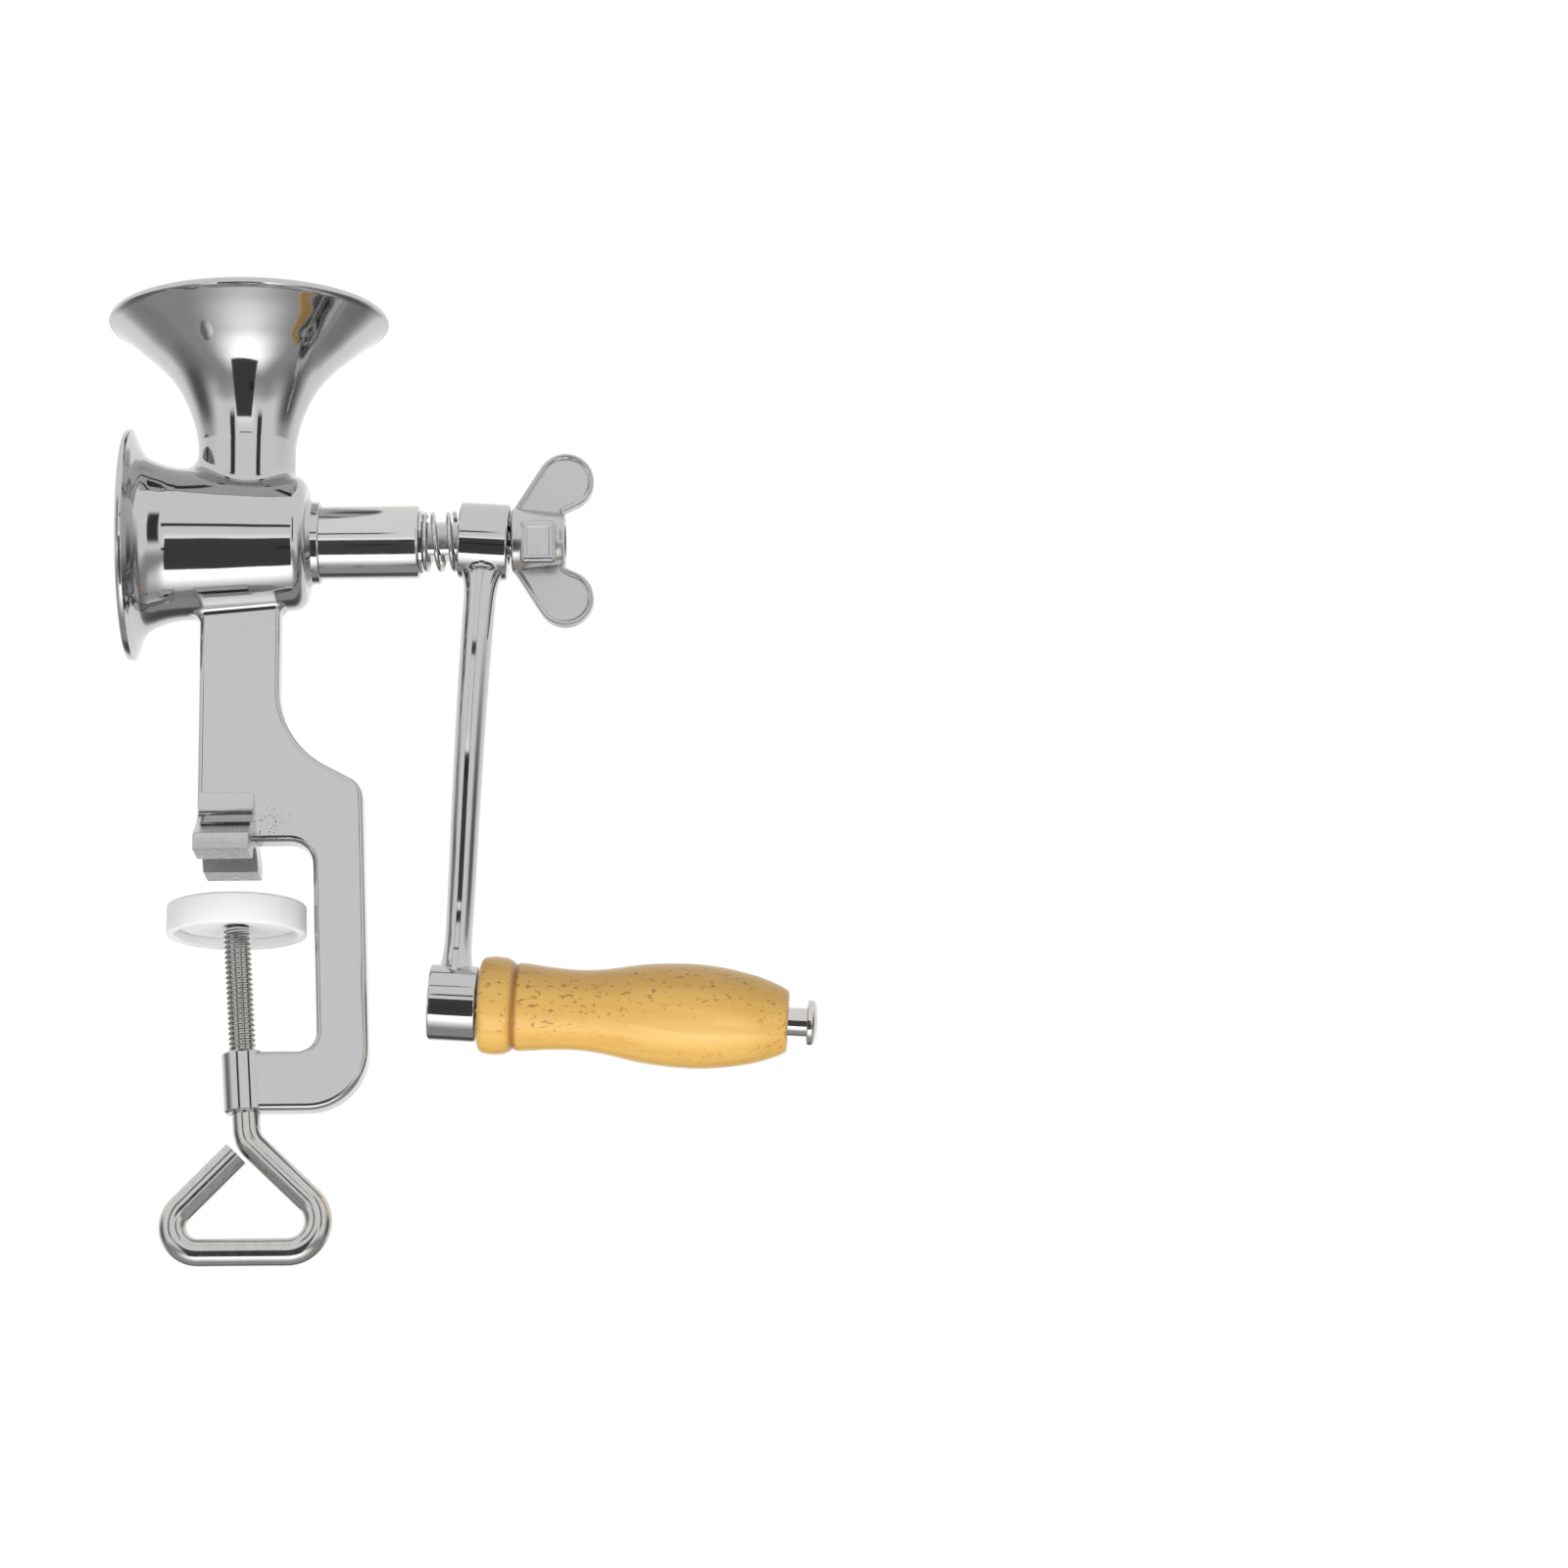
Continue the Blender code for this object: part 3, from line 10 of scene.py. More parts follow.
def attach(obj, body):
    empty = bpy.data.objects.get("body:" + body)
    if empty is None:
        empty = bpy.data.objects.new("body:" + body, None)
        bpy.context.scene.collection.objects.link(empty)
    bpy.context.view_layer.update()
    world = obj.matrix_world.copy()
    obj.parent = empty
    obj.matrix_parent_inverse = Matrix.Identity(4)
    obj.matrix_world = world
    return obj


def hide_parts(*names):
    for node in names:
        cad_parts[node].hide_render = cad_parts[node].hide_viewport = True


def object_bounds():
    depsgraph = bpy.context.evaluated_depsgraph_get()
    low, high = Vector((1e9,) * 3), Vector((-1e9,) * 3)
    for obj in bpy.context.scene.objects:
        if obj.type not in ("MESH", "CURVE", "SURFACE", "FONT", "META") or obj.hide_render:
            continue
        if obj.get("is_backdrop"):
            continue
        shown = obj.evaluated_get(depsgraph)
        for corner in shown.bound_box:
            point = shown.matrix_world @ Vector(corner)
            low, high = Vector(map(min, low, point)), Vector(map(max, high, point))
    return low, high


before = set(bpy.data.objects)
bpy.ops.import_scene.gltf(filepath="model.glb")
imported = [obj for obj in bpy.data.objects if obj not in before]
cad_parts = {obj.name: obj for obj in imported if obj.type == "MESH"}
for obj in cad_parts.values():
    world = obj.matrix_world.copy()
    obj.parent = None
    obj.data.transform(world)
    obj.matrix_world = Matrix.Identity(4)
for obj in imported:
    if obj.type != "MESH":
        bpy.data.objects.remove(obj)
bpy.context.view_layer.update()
mm = 0.001


# The studio

# The photograph is taken from below the mill with a long lens, in a white studio. Its camera was
# found from the ellipses of the round parts and the straight edges of the plate.
camera_place = (0.1809, -1.7818, -0.3985)
camera_yaw = math.radians(0.736)
camera_pitch = math.radians(13.303)
camera_roll = math.radians(-0.362)
camera_lens = 144.2
bpy.ops.object.select_all(action="DESELECT")
bpy.ops.object.camera_add(location=camera_place)
camera = bpy.context.object
camera.name = "Camera"
camera.data.lens = camera_lens
camera.data.clip_start = 0.05
turn = Matrix.Rotation(camera_yaw, 4, "Z") @ Matrix.Rotation(math.pi / 2 + camera_pitch, 4, "X")
camera.rotation_euler = (turn @ Matrix.Rotation(camera_roll, 4, "Z")).to_euler()
bpy.context.scene.camera = camera
bpy.context.scene.view_settings.view_transform = "Standard"


def linear(hex_text):
    """A colour written as sRGB hex, as the linear RGBA that a shader takes."""
    found = []
    for i in (1, 3, 5):
        value = int(hex_text[i:i + 2], 16) / 255
        found.append(value / 12.92 if value <= 0.04045 else ((value + 0.055) / 1.055) ** 2.4)
    return (*found, 1)


def add_node(tree, kind, settings=None, **links):
    """A node with its settings and links. A link's value is an output, or a value for the socket."""
    made = tree.nodes.new(kind)
    for name, value in (settings or {}).items():
        setattr(made, name, value)
    for name, value in links.items():
        socket = made.inputs[int(name[1:])] if name[1:].isdigit() else made.inputs[name.replace("_", " ")]
        if isinstance(value, bpy.types.NodeSocket):
            tree.links.new(value, socket)
        else:
            socket.default_value = value
    return made


# The world is the white surround. The camera and the polished metal see it white, and it lights
# the wood and the plastic at a plain level.
world = bpy.data.worlds.new("White surround")
bpy.context.scene.world = world
world.use_nodes = True
tree = world.node_tree
tree.nodes.clear()
rays = add_node(tree, "ShaderNodeLightPath")
seen = add_node(tree, "ShaderNodeMath", {"operation": "MAXIMUM"},
                i0=rays.outputs["Is Camera Ray"], i1=rays.outputs["Is Glossy Ray"])
seen = add_node(tree, "ShaderNodeMath", {"operation": "MAXIMUM"},
                i0=seen.outputs[0], i1=rays.outputs["Is Transmission Ray"])
lit = add_node(tree, "ShaderNodeBackground", Color=linear("#FFFFFF"), Strength=0.45)
white = add_node(tree, "ShaderNodeBackground", Color=linear("#FFFFFF"), Strength=1.0)
both = add_node(tree, "ShaderNodeMixShader", i0=seen.outputs[0], i1=lit.outputs[0], i2=white.outputs[0])
add_node(tree, "ShaderNodeOutputWorld", Surface=both.outputs[0])

# A pale floor well below the hanging mill, which is white to the camera.
floor_z = -0.75
bpy.ops.mesh.primitive_plane_add(size=12, location=(0, 0, floor_z))
floor = bpy.context.object
floor.name = "Floor"
floor_paint = bpy.data.materials.new("Matt white floor paint")
floor_paint.use_nodes = True
floor_paint.node_tree.nodes["Principled BSDF"].inputs["Base Color"].default_value = linear("#F4F4F4")
floor_paint.node_tree.nodes["Principled BSDF"].inputs["Roughness"].default_value = 0.9
floor.data.materials.append(floor_paint)
floor.visible_glossy = False
floor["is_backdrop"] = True


# Three soft lamps: one behind the camera, one under the mill, which brightens all that faces
# down, and a weak one above.
def add_lamp(name, place, aim, width, height, power):
    bpy.ops.object.light_add(type="AREA", location=place)
    lamp = bpy.context.object
    lamp.name = name
    lamp.data.shape = "RECTANGLE"
    lamp.data.size = width
    lamp.data.size_y = height
    lamp.data.energy = power
    lamp.visible_camera = False
    lamp.visible_glossy = False
    away = Vector(place) - Vector(aim)
    lamp.rotation_euler = away.to_track_quat("Z", "Y").to_euler()


add_lamp("Lamp_Front", (0, -2.3, -0.28), (0, 0, 0), 2.2, 0.9, 6.0)
add_lamp("Lamp_Below", (0.05, -0.4, -0.7), (0.05, -0.1, 0.1), 1.6, 0.9, 12.0)
add_lamp("Lamp_Above", (0.1, -0.3, 1.5), (0, 0, 0.05), 1.2, 0.8, 3.0)


# Dark cards give polished metal its dark edges and bands, as photographers do. No camera sees
# them and they throw no shadow. Each fades out towards its edges by the share called soft.
def add_card(name, place, aim, width, height, shade_hex, soft, strength=1.0):
    paper = bpy.data.materials.new(name + " paper")
    paper.use_nodes = True
    tree = paper.node_tree
    tree.nodes.clear()
    place_on = add_node(tree, "ShaderNodeTexCoord")
    axes = add_node(tree, "ShaderNodeSeparateXYZ", Vector=place_on.outputs["UV"])
    edge = []
    for axis in ("X", "Y"):
        off = add_node(tree, "ShaderNodeMath", {"operation": "SUBTRACT"}, i0=axes.outputs[axis], i1=0.5)
        off = add_node(tree, "ShaderNodeMath", {"operation": "ABSOLUTE"}, i0=off.outputs[0])
        edge.append(add_node(tree, "ShaderNodeMapRange", {"interpolation_type": "SMOOTHSTEP"},
                             Value=off.outputs[0], From_Min=0.5, From_Max=0.5 - max(soft, 0.001)))
    cover = add_node(tree, "ShaderNodeMath", {"operation": "MULTIPLY"},
                     i0=edge[0].outputs[0], i1=edge[1].outputs[0])
    clear = add_node(tree, "ShaderNodeBsdfTransparent")
    dull = add_node(tree, "ShaderNodeEmission", Color=linear(shade_hex), Strength=strength)
    both = add_node(tree, "ShaderNodeMixShader", i0=cover.outputs[0], i1=clear.outputs[0], i2=dull.outputs[0])
    add_node(tree, "ShaderNodeOutputMaterial", Surface=both.outputs[0])
    away = (Vector(aim) - Vector(place)).to_track_quat("Z", "Y")
    bpy.ops.mesh.primitive_plane_add(size=1, location=place, rotation=away.to_euler())
    card = bpy.context.object
    card.name = name
    card.scale = (width, height, 1)
    bpy.ops.object.transform_apply(location=False, rotation=False, scale=True)
    card.data.materials.append(paper)
    card.visible_camera = False
    card.visible_diffuse = False
    card.visible_shadow = False
    card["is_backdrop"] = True


# The white cards stand where the lamps are. The dark card under the camera draws the dark band
# along the barrel and the sleeve, and the narrow one down the neck. The bars draw the fine line
# above the band, the posts shade the hopper's sides, and the grey cards darken the flanks and all
# that faces down and away.
add_card("Card_Table", (0, 0, -0.745), (0, 0, 0.1), 5.0, 5.0, "#A8A8A8", 0.3)
add_card("Card_White_Below", (0.02, -0.5, -0.7), (0.02, -0.5, 0.1), 1.5, 1.2, "#FFFFFF", 0.5, 2.4)
add_card("Card_White_Front", (0, -2.3, -0.28), (0, 0, 0), 2.2, 1.0, "#FFFFFF", 0.3, 1.3)
add_card("Card_Band", (-0.03, -0.77, -0.44), (0, 0, 0.1), 0.6, 1.03, "#4A4A4A", 0.01)
add_card("Card_Bar", (0.008, -0.222, 0.1485), (0.008, 0, 0.1485), 0.13, 0.021, "#303030", 0.15)
add_card("Card_Low_Bar", (0.052, -0.222, 0.008), (0.052, 0, 0.008), 0.04, 0.021, "#303030", 0.15)
add_card("Card_Back", (0, 0.75, -0.6), (0, 0, 0.1), 2.4, 0.9, "#5A5A5A", 0.45)
add_card("Card_Post_Left", (-0.6, -1.1, 0.35), (-0.6, 0, 0.35), 0.34, 1.2, "#404040", 0.2)
add_card("Card_Post_Right", (0.7, -1.1, 0.35), (0.7, 0, 0.35), 0.34, 1.2, "#404040", 0.2)
add_card("Card_Left", (-1.0, 0.1, -0.15), (0, 0, 0.1), 1.5, 1.5, "#686868", 0.45)
add_card("Card_Right", (1.05, 0.1, -0.15), (0, 0, 0.1), 1.5, 1.5, "#686868", 0.45)


# Mill body

# One investment casting in stainless steel: hopper, neck, barrel with its flared mouth, post,
# C-frame, feet and lower jaw. It is polished to a mirror by hand, which leaves the big faces a
# little wavy, and it stays as cast where no wheel reaches, between the feet.
shaft_z = 97.0 * mm


def only(piece):
    """Selects this piece alone and makes it active."""
    bpy.ops.object.select_all(action="DESELECT")
    piece.select_set(True)
    bpy.context.view_layer.objects.active = piece


def draw_line(name, points):
    """A line of points drawn one after another by extruding a vertex. It stays in edit mode."""
    bpy.ops.object.select_all(action="DESELECT")
    bpy.ops.mesh.primitive_plane_add(size=mm, location=(0, 0, 0))
    piece = bpy.context.object
    piece.name = piece.data.name = name
    bpy.ops.object.mode_set(mode="EDIT")
    bpy.ops.mesh.select_mode(type="VERT")
    bpy.ops.mesh.merge(type="CENTER")
    bpy.ops.transform.translate(value=points[0])
    for here, there in zip(points, points[1:]):
        step = Vector(there) - Vector(here)
        bpy.ops.mesh.extrude_vertices_move(TRANSFORM_OT_translate={"value": step})
    bpy.ops.mesh.select_all(action="SELECT")
    return piece


def close_up(piece, merge=0.0001 * mm):
    """Leaves edit mode with the doubles merged and the normals pointing outwards."""
    bpy.ops.mesh.select_all(action="SELECT")
    bpy.ops.mesh.remove_doubles(threshold=merge)
    bpy.ops.mesh.normals_make_consistent(inside=False)
    bpy.ops.object.mode_set(mode="OBJECT")
    return piece


def smooth_line(points, steps):
    """A smooth line through (along, across) points, as many steps to each stretch."""
    held = [points[0]] + list(points) + [points[-1]]
    made = []
    for a, b, c, d in zip(held, held[1:], held[2:], held[3:]):
        a, b, c, d = (Vector(p) for p in (a, b, c, d))
        for k in range(steps):
            t = k / steps
            made.append(0.5 * (2 * b + (c - a) * t + (2 * a - 5 * b + 4 * c - d) * t * t
                               + (3 * b - a - 3 * c + d) * t * t * t))
    return [tuple(p) for p in made] + [tuple(points[-1])]


def turned(name, profile, steps=128, axis="X", centre=(0, 0, shaft_z), lean=None):
    """A turned piece. The profile gives (along, radius) in millimetres on its axis."""
    if axis == "X":
        points = [Vector((along * mm, 0, shaft_z + radius * mm)) for along, radius in profile]
    else:
        points = [Vector((centre[0] + radius * mm, 0, along * mm)) for along, radius in profile]
    piece = draw_line(name, points)
    bpy.ops.mesh.spin(steps=steps, angle=2 * math.pi, center=centre,
                      axis=(1, 0, 0) if axis == "X" else (0, 0, 1))
    close_up(piece)
    if lean:
        piece.data.transform(lean)
    return piece


def apply(piece, kind, **settings):
    """Adds a modifier with its settings and applies it."""
    only(piece)
    change = piece.modifiers.new(kind.title(), kind)
    for name, value in settings.items():
        setattr(change, name, value)
    bpy.ops.object.modifier_apply(modifier=change.name)


def combine(piece, other, operation):
    """Joins the other piece to this one, or cuts it out of it, and removes it."""
    apply(piece, "BOOLEAN", operation=operation, object=other, solver="MANIFOLD")
    bpy.data.objects.remove(other)


def shade(piece, degrees=35):
    """Shades the piece smooth, with the edges that turn by more than these degrees kept sharp."""
    only(piece)
    bpy.ops.object.shade_smooth_by_angle(angle=math.radians(degrees))


def finish_piece(piece, body, material, slot, *nodes):
    """Gives a finished piece its material, its body and the solids that it stands for."""
    piece.data.materials.clear()
    piece.data.materials.append(material)
    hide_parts(*nodes)
    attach(piece, body)
    return piece


# The barrel, turned: the outside from the flange to the sleeve's boss.
flare = smooth_line([(-33.0, 33.9), (-32.5, 32.6), (-31.8, 31.0), (-30.9, 28.6), (-29.5, 26.4),
                     (-27.8, 25.15), (-25.7, 24.2), (-22.4, 23.05), (-19.0, 22.5)], 4)
corner = [(18.5 - 4.6 * (1 - math.sin(math.radians(a))), 19.8 - 4.6 * (1 - math.cos(math.radians(a))))
          for a in range(10, 91, 10)]
straight = [(x, 22.5 + (19.92 - 22.5) * (x + 19.0) / 32.9) for x in range(-17, 13, 2)]
cove = [(18.5 + 1.3 * math.sin(math.radians(a)), 12.2 + 1.3 * (1 - math.cos(math.radians(90 - a))))
        for a in range(0, 91, 18)]
barrel_line = (
    [(-35.0, 33.3), (-34.8, 33.75), (-34.4, 34.0), (-33.5, 34.1), (-33.15, 34.0)]
    + flare + straight + corner + cove
    + [(21.6, 12.15), (21.95, 11.95), (22.1, 11.6)]
)
body = turned("Mill_Body", [(-35.0, 0)] + barrel_line + [(22.1, 0)], steps=160)


def barrel_radius(x):
    """The barrel's outside radius, in millimetres."""
    for (x0, r0), (x1, r1) in zip(barrel_line, barrel_line[1:]):
        if x0 <= x <= x1 and x1 > x0:
            return r0 + (r1 - r0) * (x - x0) / (x1 - x0)
    return barrel_line[-1][1]


def fillet_rings(outline, radius, upward, steps, sink):
    """Rings that lead from a wall on a plan outline, in a fillet, onto the barrel.

    The fillet has to follow the barrel's saddle, which no modelling tool does, so it is worked out."""
    rings = [[] for _ in range(steps + 1)]
    side = 1 if upward else -1
    for point, outward in outline:
        sweep = math.pi / 2
        for _ in range(6):
            x, y = point + outward * radius * (1 - math.cos(sweep))
            around = barrel_radius(x)
            y = min(abs(y), around * 0.985)
            height = math.sqrt(around * around - y * y)
            sweep = math.pi / 2 - math.atan(abs(outward.y) * y / height)
        for k in range(steps + 1):
            t = sweep * k / steps
            x, y = point + outward * (radius * (1 - math.cos(t)) - sink)
            z = side * height + side * (radius * (math.sin(sweep) - math.sin(t)) - sink)
            rings[k].append((x * mm, y * mm, shaft_z + z * mm))
    return rings


def skin(name, rings):
    """A closed skin over rings of points."""
    shape = bmesh.new()
    loops = [[shape.verts.new(point) for point in ring] for ring in rings]
    for one, other in zip(loops, loops[1:]):
        for i in range(len(one)):
            j = (i + 1) % len(one)
            shape.faces.new((one[i], one[j], other[j], other[i]))
    shape.faces.new(loops[0])
    shape.faces.new(loops[-1])
    bmesh.ops.recalc_face_normals(shape, faces=shape.faces)
    mesh = bpy.data.meshes.new(name)
    shape.to_mesh(mesh)
    shape.free()
    piece = bpy.data.objects.new(name, mesh)
    bpy.context.scene.collection.objects.link(piece)
    return piece


# The hopper, from its rolled rim down the neck and out over the barrel in a fillet.
neck_r = 14.35
hopper_line = (
    [(166.5, 39.6), (166.35, 40.4), (165.9, 41.0), (165.2, 41.4), (164.6, 41.45), (164.2, 41.15)]
    + smooth_line([(163.9, 40.3), (161.0, 36.6), (158.4, 33.5), (155.6, 30.3), (152.9, 27.3),
                   (150.2, 24.7), (147.2, 22.2), (143.8, 20.0), (140.0, 18.1), (135.8, 16.4),
                   (131.2, 15.1), (126.5, neck_r)], 4)
)
around = [Vector((math.cos(2 * math.pi * k / 144), math.sin(2 * math.pi * k / 144))) for k in range(144)]
rings = [[(*(v * radius * mm), z * mm) for v in around] for z, radius in hopper_line]
saddle = fillet_rings([(v * neck_r, v) for v in around], 4.5, True, 12, 0)
rings += saddle
rings.append([(x, y, z - 0.2 * mm) for x, y, z in saddle[-1]])
rings.append([(*(v * neck_r * mm), shaft_z) for v in around])
combine(body, skin("Hopper_Form", rings), "UNION")


def rounded_path(corners, degrees=6):
    """Points along straight runs whose corners, given as (u, v, radius), are arcs."""
    points = []
    for i, (u, v, radius) in enumerate(corners):
        here = Vector((u, v))
        if radius == 0:
            points.append(here)
            continue
        before = (Vector(corners[i - 1][:2]) - here).normalized()
        after = (Vector(corners[(i + 1) % len(corners)][:2]) - here).normalized()
        half = before.angle(after) / 2
        centre = here + (before + after).normalized() * radius / math.sin(half)
        start = here + before * radius / math.tan(half) - centre
        end = here + after * radius / math.tan(half) - centre
        sweep = start.angle_signed(end)
        steps = max(2, math.ceil(abs(sweep) / math.radians(degrees)))
        for k in range(steps + 1):
            points.append(centre + Matrix.Rotation(-sweep * k / steps, 2) @ start)
    return points


# Post and C-frame: the outline drawn, filled and thickened, with softened edges.
plate_half = 4.75
post_left = -12.8
post_right = 10.75
plate_edge_r = 1.7
plate_line = rounded_path([
    (post_left, 97.0, 0), (post_right, 97.0, 0), (post_right, 36.3, 26.0), (35.3, 23.2, 7.0),
    (38.2, -73.0, 17.5), (2.225, -73.0, 0), (1.173, -55.8, 0), (22.8, -55.8, 5.5), (20.9, 6.3, 7.0),
    (post_left, 6.3, 0),
])
plate = draw_line("Plate_Form", [Vector((u * mm, -plate_half * mm, v * mm)) for u, v in plate_line])
bpy.ops.mesh.edge_face_add()
bpy.ops.mesh.extrude_region_move(TRANSFORM_OT_translate={"value": (0, 2 * plate_half * mm, 0)})
close_up(plate)
apply(plate, "BEVEL", width=plate_edge_r * mm, segments=5, limit_method="ANGLE",
      angle_limit=math.radians(40))
combine(body, plate, "UNION")

# The small cove where the post runs into the barrel.
post_corners = [(post_right, plate_half), (post_left, plate_half), (post_left, -plate_half),
                (post_right, -plate_half)]
post_line = rounded_path([(*corner_at, plate_edge_r) for corner_at in post_corners], 18)
outline = []
for i, point in enumerate(post_line):
    along = post_line[(i + 1) % len(post_line)] - post_line[i - 1]
    outline.append((point, Vector((along.y, -along.x)).normalized()))
rings = fillet_rings(outline, 3.5, False, 8, 0.12)
low = [(x, y, shaft_z - 29.5 * mm) for x, y, _ in rings[0]]
deep = [(x, y, shaft_z) for x, y, _ in rings[0]]
combine(body, skin("Cove_Form", [low] + rings + [deep]), "UNION")

# The splayed feet, drawn across the plate and thickened along it.
arch_r = (8.6 ** 2 + 5.4 ** 2) / (2 * 5.4)
arch = [(arch_r * math.sin(math.radians(a)), 5.4 - arch_r * (1 - math.cos(math.radians(a))))
        for a in range(-60, 61, 6)]
root = smooth_line([(12.5, 10.0), (8.6, 13.2), (6.2, 16.8), (5.1, 19.8), (4.3, 22.2)], 4)
side = [(8.6, 0)] + [(21.2, 0), (21.2, 5.0)] + root
feet_line = side + [(-u, v) for u, v in reversed(side)] + arch
feet = draw_line("Feet_Form", [Vector((-12.2 * mm, u * mm, v * mm)) for u, v in feet_line])
bpy.ops.mesh.edge_face_add()
bpy.ops.mesh.extrude_region_move(TRANSFORM_OT_translate={"value": (16.2 * mm, 0, 0)})
close_up(feet)
apply(feet, "BEVEL", width=0.9 * mm, segments=3, limit_method="ANGLE", angle_limit=math.radians(40))
combine(body, feet, "UNION")

# The jaw's round nose, which leans with the clamp screw.
screw_lean = math.radians(3.5)
pivot = Vector((-1.2, 0, -17.0)) * mm
screw_frame = Matrix.Translation(pivot) @ Matrix.Rotation(-screw_lean, 4, "Y")
nose = turned("Nose_Form", [(-56.4, 0), (-56.4, 5.5), (-55.8, 6.2), (-39.2, 6.2), (-38.55, 5.5), (-38.55, 0)],
              64, "Z", (0, 0, 0), screw_frame)
combine(body, nose, "UNION")

# Cut from the casting: the mouth, the auger's bore, the sleeve's seat, the bowl and the screw's hole.
dish = smooth_line([(-35.0, 30.8), (-33.8, 28.3), (-32.3, 25.3), (-30.6, 23.9)], 4)
bore = ([(-37.0, 0), (-37.0, 31.2)] + dish
        + [(-28.6, 23.9), (-28.6, 20.25), (-22.65, 20.25), (-22.65, 13.4), (14.2, 13.4), (14.2, 6.75),
           (15.8, 6.75), (15.8, 10.85), (24.1, 10.85), (24.1, 0)])
combine(body, turned("Bore_Cut", bore, 160), "DIFFERENCE")
bowl = ([(168.5, 0), (168.5, 37.8), (166.5, 37.6), (166.3, 37.0), (165.8, 36.55)]
        + smooth_line([(165.2, 36.2), (162.5, 32.85), (157.7, 27.75), (152.1, 22.95), (146.1, 18.65),
                       (140.1, 15.1), (133.7, 12.5), (126.5, 11.0)], 4)
        + [(97.0, 11.0), (97.0, 0)])
combine(body, turned("Bowl_Cut", bowl, 144, "Z", (0, 0, 0)), "DIFFERENCE")
hole = turned("Screw_Cut", [(-60, 0), (-60, 4.15), (-35, 4.15), (-35, 0)], 48, "Z", (0, 0, 0), screw_frame)
combine(body, hole, "DIFFERENCE")
shade(body, 32)
apply(body, "WEIGHTED_NORMAL", keep_sharp=True, weight=60)

# Polished stainless steel: a mirror with the slow waviness of hand polishing, about 18 mm from
# wave to wave, and a skin with 0.4 mm grains low down between the feet, where it is left as cast.
polished = bpy.data.materials.new("Mirror-polished stainless casting")
polished.use_nodes = True
tree = polished.node_tree
shader = tree.nodes["Principled BSDF"]
shader.inputs["Metallic"].default_value = 1.0
place = add_node(tree, "ShaderNodeTexCoord")
waves = add_node(tree, "ShaderNodeTexNoise", Vector=place.outputs["Object"], Scale=55.0, Detail=1.0,
                 Roughness=0.4)
grain = add_node(tree, "ShaderNodeTexNoise", Vector=place.outputs["Object"], Scale=2600.0, Detail=3.0,
                 Roughness=0.6)
spots = add_node(tree, "ShaderNodeTexNoise", Vector=place.outputs["Object"], Scale=420.0, Detail=4.0,
                 Roughness=0.7)
axes = add_node(tree, "ShaderNodeSeparateXYZ", Vector=place.outputs["Object"])
# Where the cast skin shows: under 9 mm high, near the feet and the web, fading out above.
low_down = add_node(tree, "ShaderNodeMapRange", Value=axes.outputs["Z"], From_Min=9.0 * mm, From_Max=2.0 * mm)
not_frame = add_node(tree, "ShaderNodeMapRange", Value=axes.outputs["Z"], From_Min=-3.0 * mm,
                     From_Max=-1.0 * mm)
near_x = add_node(tree, "ShaderNodeMapRange", Value=axes.outputs["X"], From_Min=16.0 * mm, From_Max=6.0 * mm)
cast = add_node(tree, "ShaderNodeMath", {"operation": "MULTIPLY"}, i0=low_down.outputs[0],
                i1=not_frame.outputs[0])
cast = add_node(tree, "ShaderNodeMath", {"operation": "MULTIPLY"}, i0=cast.outputs[0], i1=near_x.outputs[0])
cast_skin = add_node(tree, "ShaderNodeMath", {"operation": "MULTIPLY"}, i0=cast.outputs[0],
                     i1=spots.outputs[0])
smooth_or_cast = add_node(tree, "ShaderNodeMix", {"data_type": "FLOAT"}, i0=cast_skin.outputs[0], i2=0.07,
                          i3=0.6)
bumpy = add_node(tree, "ShaderNodeMath", {"operation": "MULTIPLY"}, i0=grain.outputs[0], i1=cast.outputs[0])
wavy = add_node(tree, "ShaderNodeBump", Height=waves.outputs[0], Strength=0.35, Distance=0.4 * mm)
rough = add_node(tree, "ShaderNodeBump", Height=bumpy.outputs[0], Strength=0.5, Distance=0.1 * mm,
                 Normal=wavy.outputs[0])
tone_and_painted_shade = add_node(tree, "ShaderNodeMix", {"data_type": "RGBA"}, i0=spots.outputs[0],
                i6=linear("#BDBDBE"), i7=linear("#C5C5C5"))
# Painted shade: dark speckles painted into the corner between the front foot and the web, fading out away
# from it.
from_shaded_corner = add_node(tree, "ShaderNodeVectorMath", {"operation": "DISTANCE"}, i0=place.outputs["Object"],
                     i1=(8.5 * mm, -4.75 * mm, 10.5 * mm))
near_shaded_corner = add_node(tree, "ShaderNodeMapRange", Value=from_shaded_corner.outputs["Value"], From_Min=8.5 * mm,
                     From_Max=2.0 * mm)
shade_speckle_cells = add_node(tree, "ShaderNodeTexNoise", Vector=place.outputs["Object"], Scale=1500.0, Detail=2.0)
painted_shade_speckles = add_node(tree, "ShaderNodeMapRange", Value=shade_speckle_cells.outputs[0], From_Min=0.6, From_Max=0.66)
painted_shade_speckles = add_node(tree, "ShaderNodeMath", {"operation": "MULTIPLY"}, i0=painted_shade_speckles.outputs[0],
                i1=near_shaded_corner.outputs[0])
# The base tone, darkened towards #4A4A4A by the painted shade in that corner.
tone_and_painted_shade = add_node(tree, "ShaderNodeMix", {"data_type": "RGBA"}, i0=painted_shade_speckles.outputs[0], i6=tone_and_painted_shade.outputs[2],
                i7=linear("#4A4A4A"))
tree.links.new(smooth_or_cast.outputs[0], shader.inputs["Roughness"])
tree.links.new(rough.outputs[0], shader.inputs["Normal"])
tree.links.new(tone_and_painted_shade.outputs[2], shader.inputs["Base Color"])
finish_piece(body, "frame", polished, "polished_casting", "mill_body")


# Bearing sleeve

